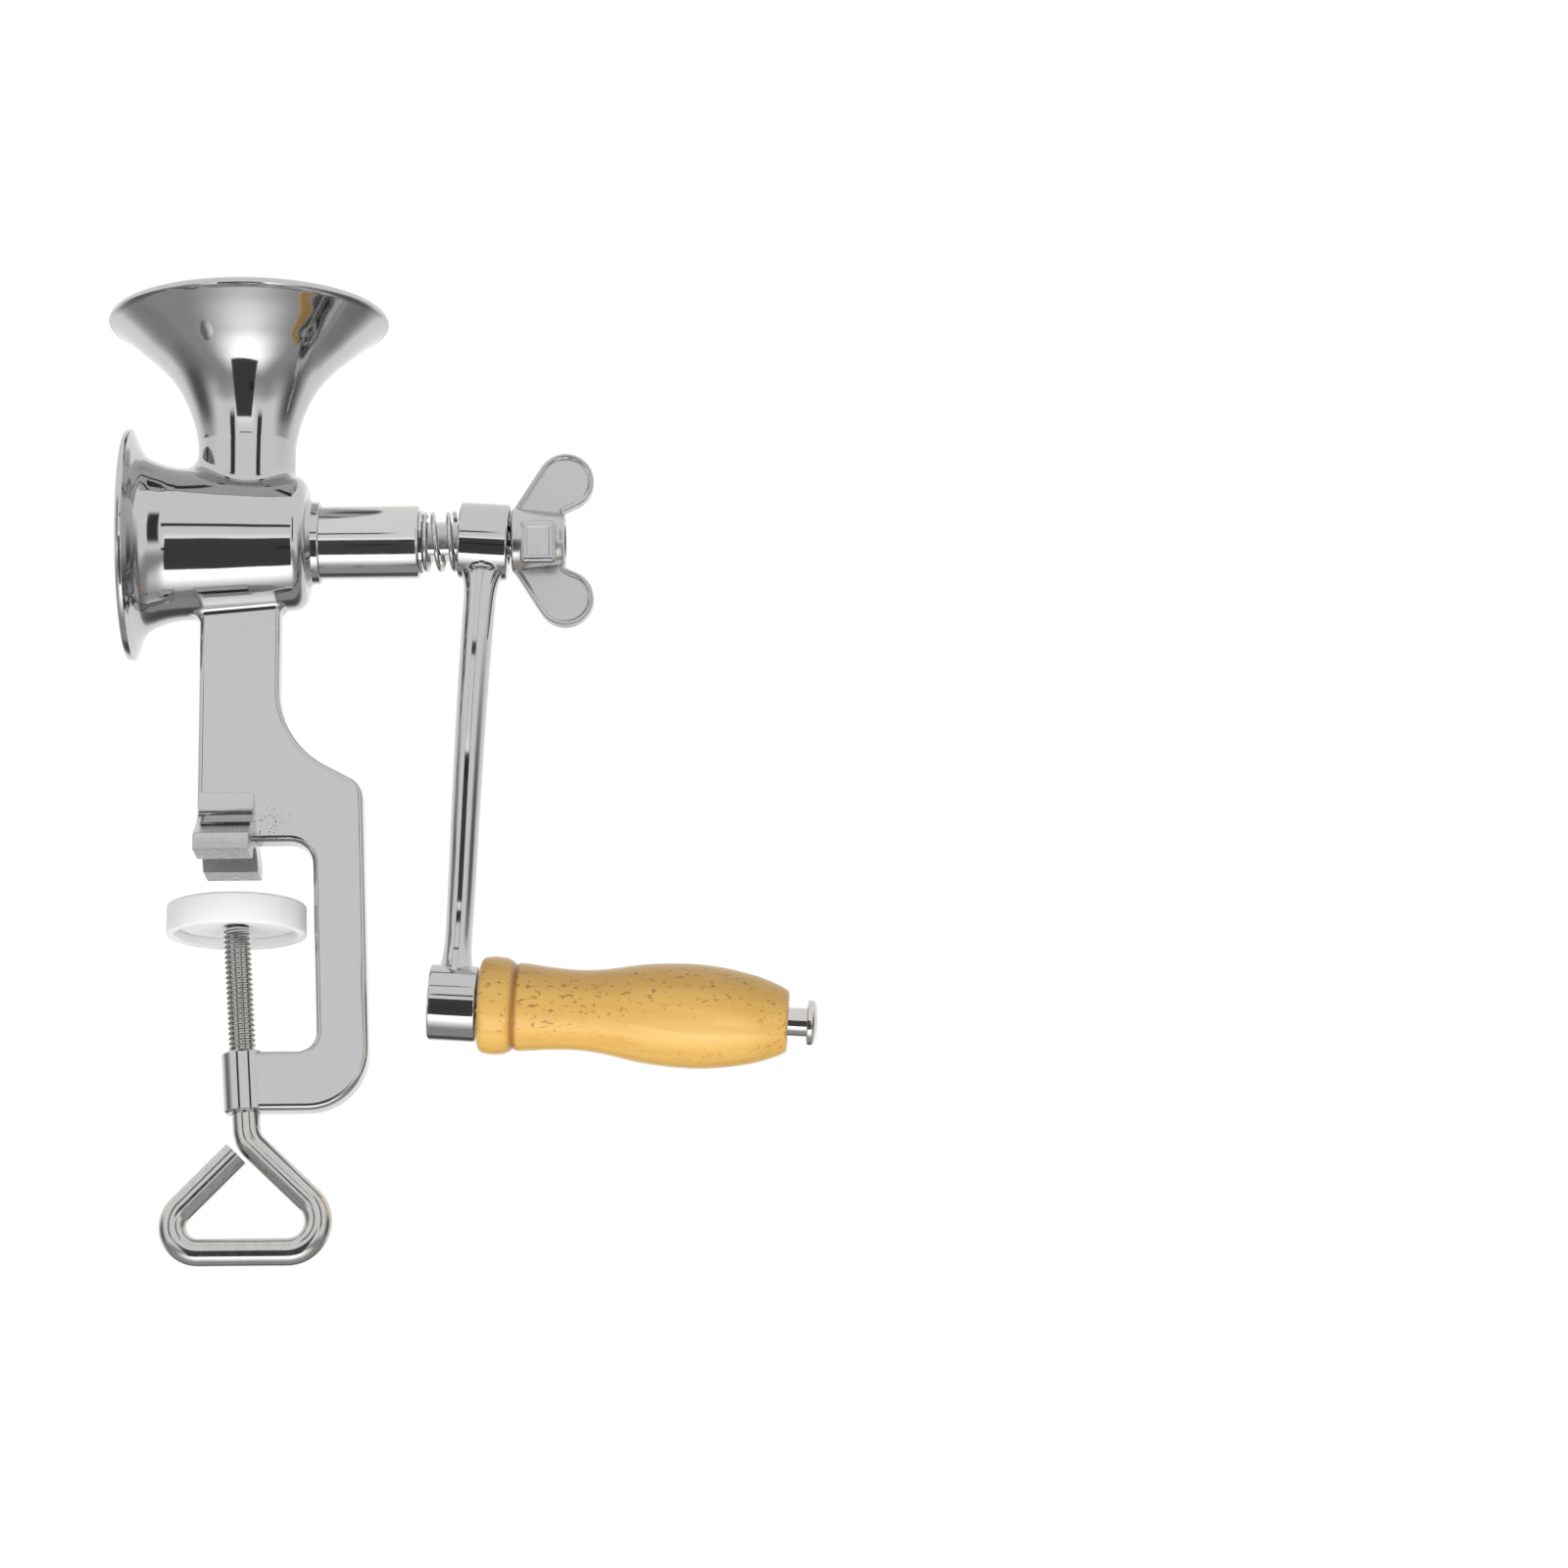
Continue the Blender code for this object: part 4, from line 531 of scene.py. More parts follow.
# A length of bright-turned steel tube, pressed into the casting's boss. The shaft runs in two
# bronze bushes inside it.
sleeve = turned("Bearing_Sleeve", [(16.1, 8.2), (51.2, 8.2), (51.2, 10.1), (51.08, 10.4), (50.8, 10.62),
                                   (50.45, 10.7), (16.1, 10.7), (16.1, 8.2)], 112)
shade(sleeve, 30)

# Bright-turned steel: nearly a mirror, with the lathe's fine rings round it.
bright = bpy.data.materials.new("Bright-turned steel")
bright.use_nodes = True
tree = bright.node_tree
shader = tree.nodes["Principled BSDF"]
shader.inputs["Base Color"].default_value = linear("#CDCCCA")
shader.inputs["Metallic"].default_value = 1.0
place = add_node(tree, "ShaderNodeTexCoord")
stretch = add_node(tree, "ShaderNodeMapping", Vector=place.outputs["Object"], Scale=(9000, 60, 60))
rings = add_node(tree, "ShaderNodeTexNoise", Vector=stretch.outputs[0], Scale=1.0, Detail=2.0)
wear = add_node(tree, "ShaderNodeTexNoise", Vector=place.outputs["Object"], Scale=300.0, Detail=3.0)
sheen = add_node(tree, "ShaderNodeMapRange", Value=wear.outputs[0], From_Min=0.3, From_Max=0.8, To_Min=0.06,
                 To_Max=0.14)
lathe = add_node(tree, "ShaderNodeBump", Height=rings.outputs[0], Strength=0.12, Distance=0.01 * mm)
tree.links.new(sheen.outputs[0], shader.inputs["Roughness"])
tree.links.new(lathe.outputs[0], shader.inputs["Normal"])
finish_piece(sleeve, "frame", bright, "turned_steel", "bearing_sleeve")


# Bushes and thrust washer

# Oil-soaked sintered bronze bushes carry the shaft, and a hardened washer takes the spring's push.
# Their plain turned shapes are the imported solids.
bronze = bpy.data.materials.new("Sintered bronze")
bronze.use_nodes = True
tree = bronze.node_tree
shader = tree.nodes["Principled BSDF"]
shader.inputs["Metallic"].default_value = 1.0
shader.inputs["Roughness"].default_value = 0.38
place = add_node(tree, "ShaderNodeTexCoord")
pores = add_node(tree, "ShaderNodeTexNoise", Vector=place.outputs["Object"], Scale=2400.0, Detail=2.0)
colour = add_node(tree, "ShaderNodeMix", {"data_type": "RGBA"}, i0=pores.outputs[0],
                  i6=linear("#8A6033"), i7=linear("#C08E52"))
pitted = add_node(tree, "ShaderNodeBump", Height=pores.outputs[0], Strength=0.25, Distance=0.03 * mm)
tree.links.new(colour.outputs[2], shader.inputs["Base Color"])
tree.links.new(pitted.outputs[0], shader.inputs["Normal"])


def dress(name, material, degrees=30):
    """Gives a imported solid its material, without changing its shape."""
    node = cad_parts[name]
    node.data.materials.clear()
    node.data.materials.append(material)
    shade(node, degrees)


dress("inner_bush", bronze)
dress("outer_bush", bronze)
dress("thrust_washer", bright)


# Grinding burrs

# Two hardened steel discs with radial teeth. The still one sits on dowels in the barrel, the
# turning one is dished, and its domed back shows in the barrel's mouth.
burr_steel = bpy.data.materials.new("Hardened burr steel")
burr_steel.use_nodes = True
tree = burr_steel.node_tree
shader = tree.nodes["Principled BSDF"]
shader.inputs["Base Color"].default_value = linear("#A9A8A6")
shader.inputs["Metallic"].default_value = 1.0
place = add_node(tree, "ShaderNodeTexCoord")
scale_skin = add_node(tree, "ShaderNodeTexNoise", Vector=place.outputs["Object"], Scale=1500.0, Detail=4.0,
                      Roughness=0.6)
matt = add_node(tree, "ShaderNodeMapRange", Value=scale_skin.outputs[0], From_Min=0.3, From_Max=0.7,
                To_Min=0.22, To_Max=0.42)
cast_bump = add_node(tree, "ShaderNodeBump", Height=scale_skin.outputs[0], Strength=0.25, Distance=0.05 * mm)
tree.links.new(matt.outputs[0], shader.inputs["Roughness"])
tree.links.new(cast_bump.outputs[0], shader.inputs["Normal"])
for name in ("stator_burr", "rotor_burr"):
    dress(name, burr_steel, 25)
for name in ("stator_dowel_top", "stator_dowel_bottom", "burr_cross_pin", "auger_pin"):
    dress(name, bright)


# Auger

# The cast screw that draws the grain from the hopper's throat to the burrs, pinned to the shaft.
# It keeps its matt, slightly grainy casting skin.
auger_steel = bpy.data.materials.new("Cast auger steel")
auger_steel.use_nodes = True
tree = auger_steel.node_tree
shader = tree.nodes["Principled BSDF"]
shader.inputs["Metallic"].default_value = 1.0
shader.inputs["Roughness"].default_value = 0.36
place = add_node(tree, "ShaderNodeTexCoord")
skin_grain = add_node(tree, "ShaderNodeTexNoise", Vector=place.outputs["Object"], Scale=1100.0, Detail=3.0)
colour = add_node(tree, "ShaderNodeMix", {"data_type": "RGBA"}, i0=skin_grain.outputs[0],
                  i6=linear("#8E8E8D"), i7=linear("#B5B5B3"))
cast_bump = add_node(tree, "ShaderNodeBump", Height=skin_grain.outputs[0], Strength=0.3, Distance=0.06 * mm)
tree.links.new(colour.outputs[2], shader.inputs["Base Color"])
tree.links.new(cast_bump.outputs[0], shader.inputs["Normal"])
dress("auger", auger_steel)


# Drive shaft

# One turned bar: a journal through the bushes, four milled flats under the crank, and a thread
# cut on its end for the wing nut. Two cross holes take the pins of the burr and the auger.


def threaded(name, root, crest, pitch, low, high, steps=36):
    """A threaded bar along Z, drawn as one pitch of thread and swept by the Screw modifier."""
    turns = math.ceil((high - low) / pitch) + 2
    base = low - pitch
    line = [(root, 0), (root, 0.10), (crest, 0.46), (crest, 0.58), (root, 0.94), (root, 1.0)]
    bar = draw_line(name, [Vector((radius * mm, 0, (base + share * pitch) * mm)) for radius, share in line])
    bpy.ops.object.mode_set(mode="OBJECT")
    apply(bar, "SCREW", angle=2 * math.pi, screw_offset=pitch * mm, iterations=turns, steps=steps,
          render_steps=steps, axis="Z", use_merge_vertices=True, merge_threshold=0.001 * mm)
    only(bar)
    bpy.ops.object.mode_set(mode="EDIT")
    bpy.ops.mesh.select_all(action="SELECT")
    bpy.ops.mesh.remove_doubles(threshold=0.001 * mm)
    bpy.ops.mesh.fill_holes(sides=0)
    close_up(bar, 0.001 * mm)
    bpy.ops.mesh.primitive_cylinder_add(vertices=96, radius=2 * crest * mm, depth=(high - low) * mm,
                                        location=(0, 0, (low + high) / 2 * mm))
    stock = bpy.context.object
    bpy.ops.object.transform_apply(location=True, rotation=True, scale=True)
    combine(bar, stock, "INTERSECT")
    return bar


along_x = Matrix.Translation((0, 0, shaft_z)) @ Matrix.Rotation(math.pi / 2, 4, "Y")
shaft = turned("Drive_Shaft", [(-30.9, 0), (-30.9, 5.9), (-30.55, 6.25), (52.6, 6.25), (52.6, 0)], 96)
bpy.ops.mesh.primitive_cube_add(size=1, location=(62.8 * mm, 0, shaft_z))
flats = bpy.context.object
bpy.ops.transform.resize(value=(20.7 * mm, 10 * mm, 10 * mm))
bpy.ops.object.transform_apply(location=True, rotation=False, scale=True)
corners = turned("Corner_Form", [(51, 0), (51, 6.2), (73.0, 6.2), (73.15, 6.05), (73.15, 0)], 96)
combine(flats, corners, "INTERSECT")
combine(shaft, flats, "UNION")
thread = threaded("Shaft_Thread", 4.1, 4.9, 1.5, 71.5, 93.1)
thread.data.transform(along_x)
combine(shaft, thread, "UNION")
for x in (-26.45, 9.5):
    bpy.ops.mesh.primitive_cylinder_add(radius=1.52 * mm, depth=20 * mm, vertices=32,
                                        location=(x * mm, 0, shaft_z), rotation=(math.pi / 2, 0, 0))
    pin_hole = bpy.context.object
    bpy.ops.object.transform_apply(location=True, rotation=True, scale=True)
    combine(shaft, pin_hole, "DIFFERENCE")
shade(shaft, 30)
finish_piece(shaft, "drive", bright, "turned_steel", "drive_shaft")


# Spring

# A compression spring wound from bright spring wire, held between the thrust washer and the
# crank's hub, so that the wing nut works against it.
coil_r = 8.2
coils = 3
coil_steps = 48
spring_left = 53.0
spring_right = 61.45
wire_points = []
for k in range(coils * coil_steps + 1):
    angle = 2 * math.pi * k / coil_steps
    # Both end coils lie flat against what they push on, and the pitch is widest midway.
    share = min(1, max(0, (k / coil_steps - 0.45) / 2.1))
    x = spring_left + (spring_right - spring_left) * (share * share * (3 - 2 * share) * 0.35 + share * 0.65)
    wire_points.append((x * mm, -coil_r * math.sin(angle) * mm, shaft_z + coil_r * math.cos(angle) * mm))
wire = bpy.data.curves.new("Spring_Wire", "CURVE")
wire.dimensions = "3D"
wire.bevel_depth = 0.7 * mm
wire.bevel_resolution = 5
wire.use_fill_caps = True
run = wire.splines.new("POLY")
run.points.add(len(wire_points) + 1)
first_tip = (wire_points[0][0], 1.4 * mm, wire_points[0][2])
last_tip = (wire_points[-1][0], -1.4 * mm, wire_points[-1][2])
for point, spot in zip(run.points, [first_tip] + wire_points + [last_tip]):
    point.co = (*spot, 1)
spring = bpy.data.objects.new("Spring", wire)
bpy.context.scene.collection.objects.link(spring)
only(spring)
bpy.ops.object.convert(target="MESH")
spring = bpy.context.object
bpy.ops.object.mode_set(mode="EDIT")
close_up(spring)
shade(spring, 60)

# Spring wire, drawn through a die, is bright with fine lines.
spring_wire = bpy.data.materials.new("Drawn spring wire")
spring_wire.use_nodes = True
tree = spring_wire.node_tree
shader = tree.nodes["Principled BSDF"]
shader.inputs["Base Color"].default_value = linear("#C9C8C4")
shader.inputs["Metallic"].default_value = 1.0
place = add_node(tree, "ShaderNodeTexCoord")
drawn = add_node(tree, "ShaderNodeTexNoise", Vector=place.outputs["Object"], Scale=1800.0, Detail=2.0)
sheen = add_node(tree, "ShaderNodeMapRange", Value=drawn.outputs[0], To_Min=0.1, To_Max=0.26)
tree.links.new(sheen.outputs[0], shader.inputs["Roughness"])
finish_piece(spring, "drive", spring_wire, "spring_steel", "spring")


# Crank arm

# A second investment casting: a hub with a square hole, an S-curved arm with the ground-off
# parting line down its front, and an eye for the grip's bolt. It is polished like the body.
crank_lean = math.radians(3.7)
crank_frame = Matrix.Translation((70.3 * mm, 0, shaft_z)) @ Matrix.Rotation(crank_lean, 4, "Y")
grip_frame = (crank_frame @ Matrix.Translation((7.6 * mm, 0, -138.7 * mm))
              @ Matrix.Rotation(math.pi / 2, 4, "Y"))
hub_frame = crank_frame @ Matrix.Rotation(math.pi / 2, 4, "Y")


def arm_section(down):
    """One section of the arm, this far down from the shaft, in millimetres."""
    share = down / 138.7
    if share < 0.68:
        bow = -6.5 * math.sin(math.pi * share / 0.68)
    else:
        bow = 6.5 * 0.32 / 0.68 * math.sin(math.pi * (share - 0.68) / 0.32)
    near_hub = min(1, max(0, (19.0 - down) / 9.5))
    near_eye = min(1, max(0, (down - 117.5) / 14.0))
    width = 9.7 - 2.2 * share
    into_hub = 1 - math.sqrt(1 - near_hub ** 2)
    into_eye = 1 - math.sqrt(1 - near_eye ** 2)
    half_x = (width + (14.2 - width) * into_hub + (13.7 - width) * into_eye) / 2
    half_y = (14.0 - 2.5 * share) / 2 - 1.7 * into_hub + 4.6 * into_eye
    land = min(0.75, 0.6 + 0.25 * (near_hub + near_eye))
    points = []
    for start in (0, math.pi):
        side = 1 if start == 0 else -1
        for k in range(13):
            angle = math.radians(78) * k / 12
            points.append((side * half_x * math.cos(angle), side * half_y * math.sin(angle) ** 0.9))
        for x, raised in ((1.35, 0), (land + 0.12, 0.06), (land, 0.42), (-land, 0.42), (-land - 0.12, 0.06),
                          (-1.35, 0)):
            across = min(0.99, abs(x) / half_x)
            points.append((side * x, side * (half_y * (1 - across * across) ** 0.45 + raised)))
        for k in range(12, 0, -1):
            angle = math.radians(78) * k / 12
            points.append((-side * half_x * math.cos(angle), side * half_y * math.sin(angle) ** 0.9))
    return [crank_frame @ Vector(((x + 0.6 * share) * mm, (bow + y) * mm, -down * mm)) for x, y in points]


stops = [5.0, 8.0] + [9.5 + 0.8 * k for k in range(13)] + [20.5 + 3.0 * k for k in range(33)]
stops += [118.5 + 0.9 * k for k in range(14)] + [133.5]
arm = skin("Crank_Arm", [arm_section(down) for down in stops])
hub = turned("Hub_Form", [(-7.3, 0), (-7.3, 10.5), (-7.1, 10.95), (-6.6, 11.2), (6.6, 11.2), (7.1, 10.95),
                          (7.3, 10.5), (7.3, 0)], 112, "Z", (0, 0, 0), hub_frame)
eye_frame = (crank_frame @ Matrix.Translation((0.6 * mm, 0, -138.7 * mm))
             @ Matrix.Rotation(math.pi / 2, 4, "Y"))
eye = turned("Eye_Form", [(-7.0, 0), (-7.0, 10.3), (-6.8, 10.75), (-6.3, 11.0), (6.3, 11.0), (6.8, 10.75),
                          (7.0, 10.3), (7.0, 0)], 112, "Z", (0, 0, 0), eye_frame)
combine(arm, hub, "UNION")
combine(arm, eye, "UNION")
bpy.ops.mesh.primitive_cube_add(size=1, location=(0, 0, 0))
square = bpy.context.object
bpy.ops.transform.resize(value=(11.3 * mm, 11.3 * mm, 18 * mm))
bpy.ops.object.transform_apply(location=True, rotation=True, scale=True)
apply(square, "BEVEL", width=1.6 * mm, segments=3, limit_method="ANGLE")
square.data.transform(hub_frame)
combine(arm, square, "DIFFERENCE")
pocket = turned("Pocket_Cut", [(-15, 0), (-15, 8.3), (-14.0, 8.05), (-13.5, 7.7), (-5.6, 7.7),
                               (-5.6, 3.05), (1, 3.05), (1, 0)], 80, "Z", (0, 0, 0), grip_frame)
combine(arm, pocket, "DIFFERENCE")
shade(arm, 32)
apply(arm, "WEIGHTED_NORMAL", keep_sharp=True, weight=60)
finish_piece(arm, "crank", polished, "polished_casting", "crank_arm")


# Wing nut

# A cast wing nut with a tapered hub and two lobed wings, whose faces are sunk inside a border.
# Its finish is satin, and a plain framed panel stands on its front.
nut_x = 78.47


def wing(side):
    """One wing, up or down, with the middle of each face sunk inside its border."""
    lobe = Vector((nut_x + 15.7, 17.8))
    points = [Vector((nut_x + 15.1, 6.4)), Vector((nut_x + 15.6, 8.6))]
    for k in range(29):
        angle = math.radians(-70 + 216 * k / 28)
        points.append(lobe + 8.3 * Vector((math.cos(angle), math.sin(angle))))
    points += [Vector((nut_x + 0.45, 9.1)), Vector((nut_x + 0.5, 6.4))]
    made = draw_line("Wing_Form", [Vector((p.x * mm, -2.2 * mm, shaft_z + side * p.y * mm)) for p in points])
    bpy.ops.mesh.edge_face_add()
    bpy.ops.mesh.extrude_region_move(TRANSFORM_OT_translate={"value": (0, 4.4 * mm, 0)})
    close_up(made)
    bpy.ops.object.mode_set(mode="EDIT")
    bpy.ops.mesh.select_mode(type="FACE")
    bpy.ops.mesh.select_all(action="DESELECT")
    bpy.ops.object.mode_set(mode="OBJECT")
    for polygon in made.data.polygons:
        polygon.select = abs(polygon.normal.y) > 0.9
    bpy.ops.object.mode_set(mode="EDIT")
    bpy.ops.mesh.inset(thickness=1.0 * mm, use_even_offset=True)
    bpy.ops.mesh.inset(thickness=0.5 * mm, use_even_offset=True)
    bpy.ops.transform.resize(value=(1, 1.45 / 2.2, 1))
    bpy.ops.object.mode_set(mode="OBJECT")
    apply(made, "BEVEL", width=0.5 * mm, segments=3, limit_method="ANGLE", angle_limit=math.radians(50))
    return made


nut = turned("Wing_Nut", [(nut_x, 0), (nut_x, 9.0), (nut_x + 0.25, 9.45), (nut_x + 0.8, 9.7),
                          (nut_x + 14.6, 8.2), (nut_x + 15.3, 7.85), (nut_x + 15.6, 7.3),
                          (nut_x + 15.6, 0)], 96)
bpy.ops.mesh.primitive_cube_add(size=1, location=(0, 0, 0))
panel = bpy.context.object
bpy.ops.transform.resize(value=(10.6 * mm, 4 * mm, 12.4 * mm))
bpy.ops.object.transform_apply(location=True, rotation=True, scale=True)
apply(panel, "BEVEL", width=1.3 * mm, segments=4, limit_method="ANGLE")
bpy.ops.object.mode_set(mode="EDIT")
bpy.ops.mesh.select_mode(type="FACE")
bpy.ops.mesh.select_all(action="DESELECT")
bpy.ops.object.mode_set(mode="OBJECT")
for polygon in panel.data.polygons:
    polygon.select = polygon.normal.y < -0.99
bpy.ops.object.mode_set(mode="EDIT")
bpy.ops.mesh.inset(thickness=0.55 * mm, use_even_offset=True)
bpy.ops.mesh.inset(thickness=0.35 * mm, use_even_offset=True)
bpy.ops.transform.translate(value=(0, 0.3 * mm, 0))
bpy.ops.object.mode_set(mode="OBJECT")
panel.data.transform(Matrix.Translation(((nut_x + 8.0) * mm, 0, shaft_z))
                     @ Matrix.Rotation(math.radians(6), 4, "X")
                     @ Matrix.Translation((0, -7.5 * mm, -1.5 * mm)))
combine(nut, panel, "UNION")
combine(nut, wing(1), "UNION")
combine(nut, wing(-1), "UNION")
tapping = threaded("Nut_Thread", 4.35, 5.1, 1.5, nut_x - 2, nut_x + 17)
tapping.data.transform(along_x)
combine(nut, tapping, "DIFFERENCE")
shade(nut, 32)
apply(nut, "WEIGHTED_NORMAL", keep_sharp=True, weight=60)

# Satin finish: blasted and lightly tumbled, so the faces are dull grey and a little mottled and
# the raised rims are brighter.
satin = bpy.data.materials.new("Satin-blasted stainless casting")
satin.use_nodes = True
tree = satin.node_tree
shader = tree.nodes["Principled BSDF"]
shader.inputs["Metallic"].default_value = 1.0
place = add_node(tree, "ShaderNodeTexCoord")
mottle = add_node(tree, "ShaderNodeTexNoise", Vector=place.outputs["Object"], Scale=260.0, Detail=4.0,
                  Roughness=0.6)
blast = add_node(tree, "ShaderNodeTexNoise", Vector=place.outputs["Object"], Scale=3200.0, Detail=2.0)
matt = add_node(tree, "ShaderNodeMapRange", Value=mottle.outputs[0], From_Min=0.35, From_Max=0.7, To_Min=0.2,
                To_Max=0.32)
colour = add_node(tree, "ShaderNodeMix", {"data_type": "RGBA"}, i0=mottle.outputs[0],
                  i6=linear("#B9B9BA"), i7=linear("#C8C8C8"))
fine = add_node(tree, "ShaderNodeBump", Height=blast.outputs[0], Strength=0.06, Distance=0.02 * mm)
tree.links.new(matt.outputs[0], shader.inputs["Roughness"])
tree.links.new(colour.outputs[2], shader.inputs["Base Color"])
tree.links.new(fine.outputs[0], shader.inputs["Normal"])
finish_piece(nut, "wing", satin, "satin_casting", "wing_nut")


# Grip

# Turned from beech on a lathe, bored through for its bolt, and varnished. A bead and a sharp
# groove end it at the crank.
grip_r = 15.15
bead = smooth_line([(0.0, 0.80), (0.006, 0.875), (0.02, 0.92), (0.05, 0.938), (0.085, 0.918), (0.103, 0.868),
                    (0.113, 0.812)], 5)
hold = smooth_line([(0.117, 0.806), (0.123, 0.832), (0.135, 0.842), (0.16, 0.832), (0.23, 0.79),
                    (0.32, 0.768), (0.41, 0.815), (0.54, 0.95), (0.675, 1.0), (0.765, 0.972),
                    (0.83, 0.915), (0.90, 0.825), (0.96, 0.70), (0.99, 0.615), (0.998, 0.575),
                    (1.0, 0.53)], 5)
outside = [(0.6 + 89.4 * along, grip_r * out) for along, out in bead + hold]
grip = turned("Grip", [(0.6, 4.3)] + outside + [(90.0, 4.3), (0.6, 4.3)], 112, "Z", (0, 0, 0), grip_frame)
shade(grip, 40)

# Varnished beech: warm yellow, with grain along the grip, short dark flecks, browner in and around the
# groove, and a clear coat over it. The grain's coordinates follow the grip.
beech = bpy.data.materials.new("Varnished beech")
beech.use_nodes = True
tree = beech.node_tree
shader = tree.nodes["Principled BSDF"]
place = add_node(tree, "ShaderNodeTexCoord")
eye_x, _, eye_z = grip_frame.translation
lie = add_node(tree, "ShaderNodeMapping", {"vector_type": "TEXTURE"}, Vector=place.outputs["Object"],
               Location=(eye_x, 0, eye_z), Rotation=(0, crank_lean, 0))
grain_run = add_node(tree, "ShaderNodeMapping", Vector=lie.outputs[0], Scale=(14, 260, 260))
grain = add_node(tree, "ShaderNodeTexNoise", Vector=grain_run.outputs[0], Scale=1.0, Detail=5.0,
                 Roughness=0.55, Distortion=0.4)
broad_run = add_node(tree, "ShaderNodeMapping", Vector=lie.outputs[0], Scale=(9, 60, 60))
broad = add_node(tree, "ShaderNodeTexNoise", Vector=broad_run.outputs[0], Scale=1.0, Detail=2.0)
fleck_run = add_node(tree, "ShaderNodeMapping", Vector=lie.outputs[0], Scale=(420, 1500, 900))
flecks = add_node(tree, "ShaderNodeTexNoise", Vector=fleck_run.outputs[0], Scale=1.0, Detail=1.0,
                  Distortion=0.6)
fleck = add_node(tree, "ShaderNodeMapRange", Value=flecks.outputs[0], From_Min=0.62, From_Max=0.7)
patches = add_node(tree, "ShaderNodeMapRange", Value=broad.outputs[0], From_Min=0.36, From_Max=0.56)
fleck = add_node(tree, "ShaderNodeMath", {"operation": "MULTIPLY"}, i0=fleck.outputs[0],
                 i1=patches.outputs[0])
along_grip = add_node(tree, "ShaderNodeSeparateXYZ", Vector=lie.outputs[0])
from_groove = add_node(tree, "ShaderNodeMath", {"operation": "SUBTRACT"}, i0=along_grip.outputs["X"],
                       i1=10.9 * mm)
from_groove = add_node(tree, "ShaderNodeMath", {"operation": "ABSOLUTE"}, i0=from_groove.outputs[0])
groove = add_node(tree, "ShaderNodeMapRange", Value=from_groove.outputs[0], From_Min=1.6 * mm,
                  From_Max=0.2 * mm)
wood = add_node(tree, "ShaderNodeMix", {"data_type": "RGBA"}, i0=grain.outputs[0],
                i6=linear("#CF9A3C"), i7=linear("#EDC56C"))
cloudy = add_node(tree, "ShaderNodeMapRange", Value=broad.outputs[0], From_Min=0.35, From_Max=0.65)
cloudy = add_node(tree, "ShaderNodeMath", {"operation": "MULTIPLY"}, i0=cloudy.outputs[0], i1=0.3)
wood = add_node(tree, "ShaderNodeMix", {"data_type": "RGBA"}, i0=cloudy.outputs[0], i6=wood.outputs[2],
                i7=linear("#C08A36"))
darker = add_node(tree, "ShaderNodeMath", {"operation": "MULTIPLY"}, i0=fleck.outputs[0], i1=0.8)
wood = add_node(tree, "ShaderNodeMix", {"data_type": "RGBA"}, i0=darker.outputs[0], i6=wood.outputs[2],
                i7=linear("#8C5A22"))
# The wood turns browner within 1.6 mm of the groove's middle.
browner = add_node(tree, "ShaderNodeMath", {"operation": "MULTIPLY"}, i0=groove.outputs[0], i1=0.85)
wood = add_node(tree, "ShaderNodeMix", {"data_type": "RGBA"}, i0=browner.outputs[0], i6=wood.outputs[2],
                i7=linear("#9A6020"))
soft = add_node(tree, "ShaderNodeBump", Height=grain.outputs[0], Strength=0.15, Distance=0.05 * mm)
tree.links.new(wood.outputs[2], shader.inputs["Base Color"])
tree.links.new(soft.outputs[0], shader.inputs["Normal"])
shader.inputs["Roughness"].default_value = 0.42
shader.inputs["Coat Weight"].default_value = 0.5
shader.inputs["Coat Roughness"].default_value = 0.18
finish_piece(grip, "grip", beech, "varnished_beech", "grip")


# Grip's bolt, washer and nut

# A bright shoulder bolt with a domed head holds the grip on the eye. Its nut and washer sit in
# the counterbore at the back.
dome = [(97.0 + 1.6 * math.sin(math.radians(a)), 6.55 * math.cos(math.radians(a))) for a in range(6, 90, 12)]
bolt = turned("Grip_Bolt", [(-13.2, 0), (-13.2, 2.5), (-12.8, 2.95), (0.05, 2.95), (0.05, 4.1), (95.6, 4.1),
                            (95.6, 6.3), (95.85, 6.55), (96.9, 6.55)] + dome + [(98.6, 0)],
              80, "Z", (0, 0, 0), grip_frame)
shade(bolt, 30)
finish_piece(bolt, "crank", bright, "turned_steel", "grip_pin")
dress("grip_pin_washer", bright)
dress("grip_pin_nut", bright)


# Clamp screw

# One steel rod, threaded down from the pad and bent cold into the loop that turns it. It is
# zinc-plated, so it is a little duller than the casting.


def on_screw(drop):
    """The point on the screw's axis this far below its pivot, in millimetres."""
    return pivot + drop * mm * Vector((math.sin(screw_lean), 0, -math.cos(screw_lean)))


bend = on_screw((-17.0 + 81.2) / math.cos(screw_lean))
start = on_screw(52)
loop = rounded_path([(start.x / mm, start.z / mm, 0), (bend.x / mm, bend.z / mm, 8.0), (36.5, -113.7, 8.8),
                     (-28.8, -113.7, 7.4), (-0.5, -85.1, 0)], 5)
loop_wire = bpy.data.curves.new("Clamp_Loop", "CURVE")
loop_wire.dimensions = "3D"
loop_wire.bevel_depth = 4.0 * mm
loop_wire.bevel_resolution = 10
loop_wire.use_fill_caps = True
run = loop_wire.splines.new("POLY")
run.points.add(len(loop) - 1)
for point, spot in zip(run.points, loop):
    point.co = (spot.x * mm, 0, spot.y * mm, 1)
screw = bpy.data.objects.new("Clamp_Screw", loop_wire)
bpy.context.scene.collection.objects.link(screw)
only(screw)
bpy.ops.object.convert(target="MESH")
screw = bpy.context.object
bpy.ops.object.mode_set(mode="EDIT")
close_up(screw)
bar = threaded("Screw_Thread", 3.32, 4.0, 1.5, -52.4, -2.6)
bar.data.transform(screw_frame)
combine(screw, bar, "UNION")
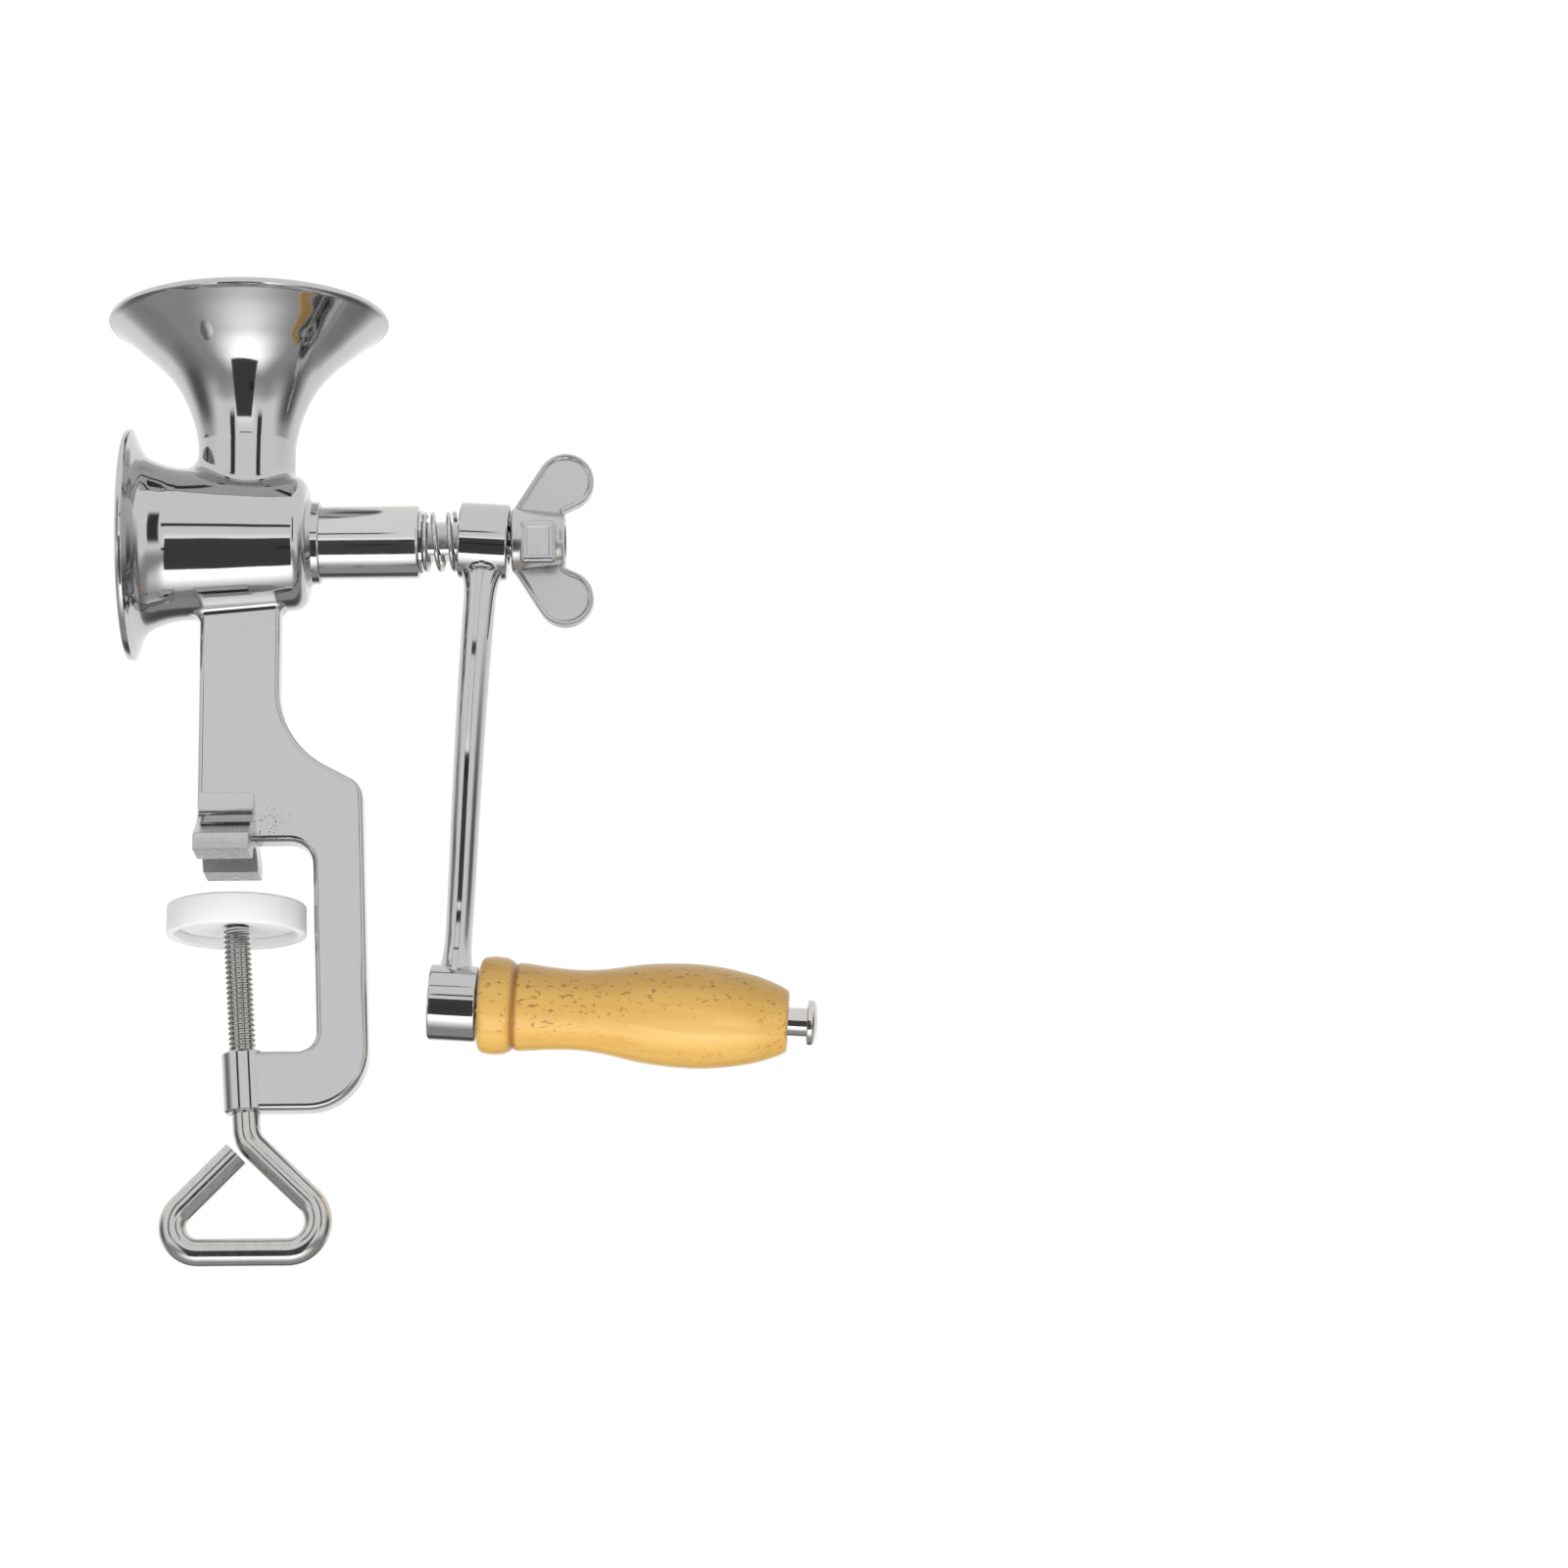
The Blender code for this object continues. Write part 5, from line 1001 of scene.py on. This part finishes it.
neck = turned("Neck_Form", [(3.2, 0), (3.2, 2.5), (3.0, 2.7), (-1.1, 2.7), (-2.0, 3.5), (-3.4, 3.6),
                            (-3.4, 0)], 48, "Z", (0, 0, 0), screw_frame)
combine(screw, neck, "UNION")
shade(screw, 35)

# Bright zinc plate: clear highlights, slightly cloudy, with small stains.
zinc = bpy.data.materials.new("Bright zinc plate")
zinc.use_nodes = True
tree = zinc.node_tree
shader = tree.nodes["Principled BSDF"]
shader.inputs["Metallic"].default_value = 1.0
place = add_node(tree, "ShaderNodeTexCoord")
cloud = add_node(tree, "ShaderNodeTexNoise", Vector=place.outputs["Object"], Scale=350.0, Detail=4.0,
                 Roughness=0.6)
sheen = add_node(tree, "ShaderNodeMapRange", Value=cloud.outputs[0], From_Min=0.3, From_Max=0.75, To_Min=0.06,
                 To_Max=0.2)
colour = add_node(tree, "ShaderNodeMix", {"data_type": "RGBA"}, i0=cloud.outputs[0],
                  i6=linear("#B8B7B4"), i7=linear("#CFCECB"))
tree.links.new(sheen.outputs[0], shader.inputs["Roughness"])
tree.links.new(colour.outputs[2], shader.inputs["Base Color"])
finish_piece(screw, "screw", zinc, "turned_steel", "clamp_screw")


# Clamp pad

# A soft cap of milky polyethylene that spares the table. It has a plate snapped into it, which
# turns on the screw's neck and is kept there by a steel ring.
top_edge = [(4.0 + math.cos(math.radians(a)), 19.3 + math.sin(math.radians(a))) for a in range(0, 91, 15)]
pad = turned("Clamp_Pad", [(5.0, 0)] + top_edge
             + [(-3.5, 20.3), (-3.85, 20.15), (-4.0, 19.8), (-4.0, 18.2), (-3.7, 17.9), (1.5, 17.9),
                (1.5, 7.0), (3.5, 7.0), (3.5, 0)], 128, "Z", (0, 0, 0), Matrix.Translation(pivot))
shade(pad, 35)

# Milky polyethylene: white, waxy and a little see-through at its edges.
milky = bpy.data.materials.new("Milky polyethylene")
milky.use_nodes = True
tree = milky.node_tree
shader = tree.nodes["Principled BSDF"]
place = add_node(tree, "ShaderNodeTexCoord")
cloud = add_node(tree, "ShaderNodeTexNoise", Vector=place.outputs["Object"], Scale=70.0, Detail=2.0)
colour = add_node(tree, "ShaderNodeMix", {"data_type": "RGBA"}, i0=cloud.outputs[0],
                  i6=linear("#E9E9E8"), i7=linear("#F2F2F1"))
tree.links.new(colour.outputs[2], shader.inputs["Base Color"])
shader.inputs["Roughness"].default_value = 0.36
shader.inputs["Subsurface Weight"].default_value = 0.6
shader.inputs["Subsurface Radius"].default_value = (1.0, 1.0, 1.0)
shader.inputs["Subsurface Scale"].default_value = 2.0 * mm
finish_piece(pad, "pad", milky, "milky_plastic", "clamp_pad")
dress("swivel_plate", milky)
dress("pad_retaining_ring", bright)

low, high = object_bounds()
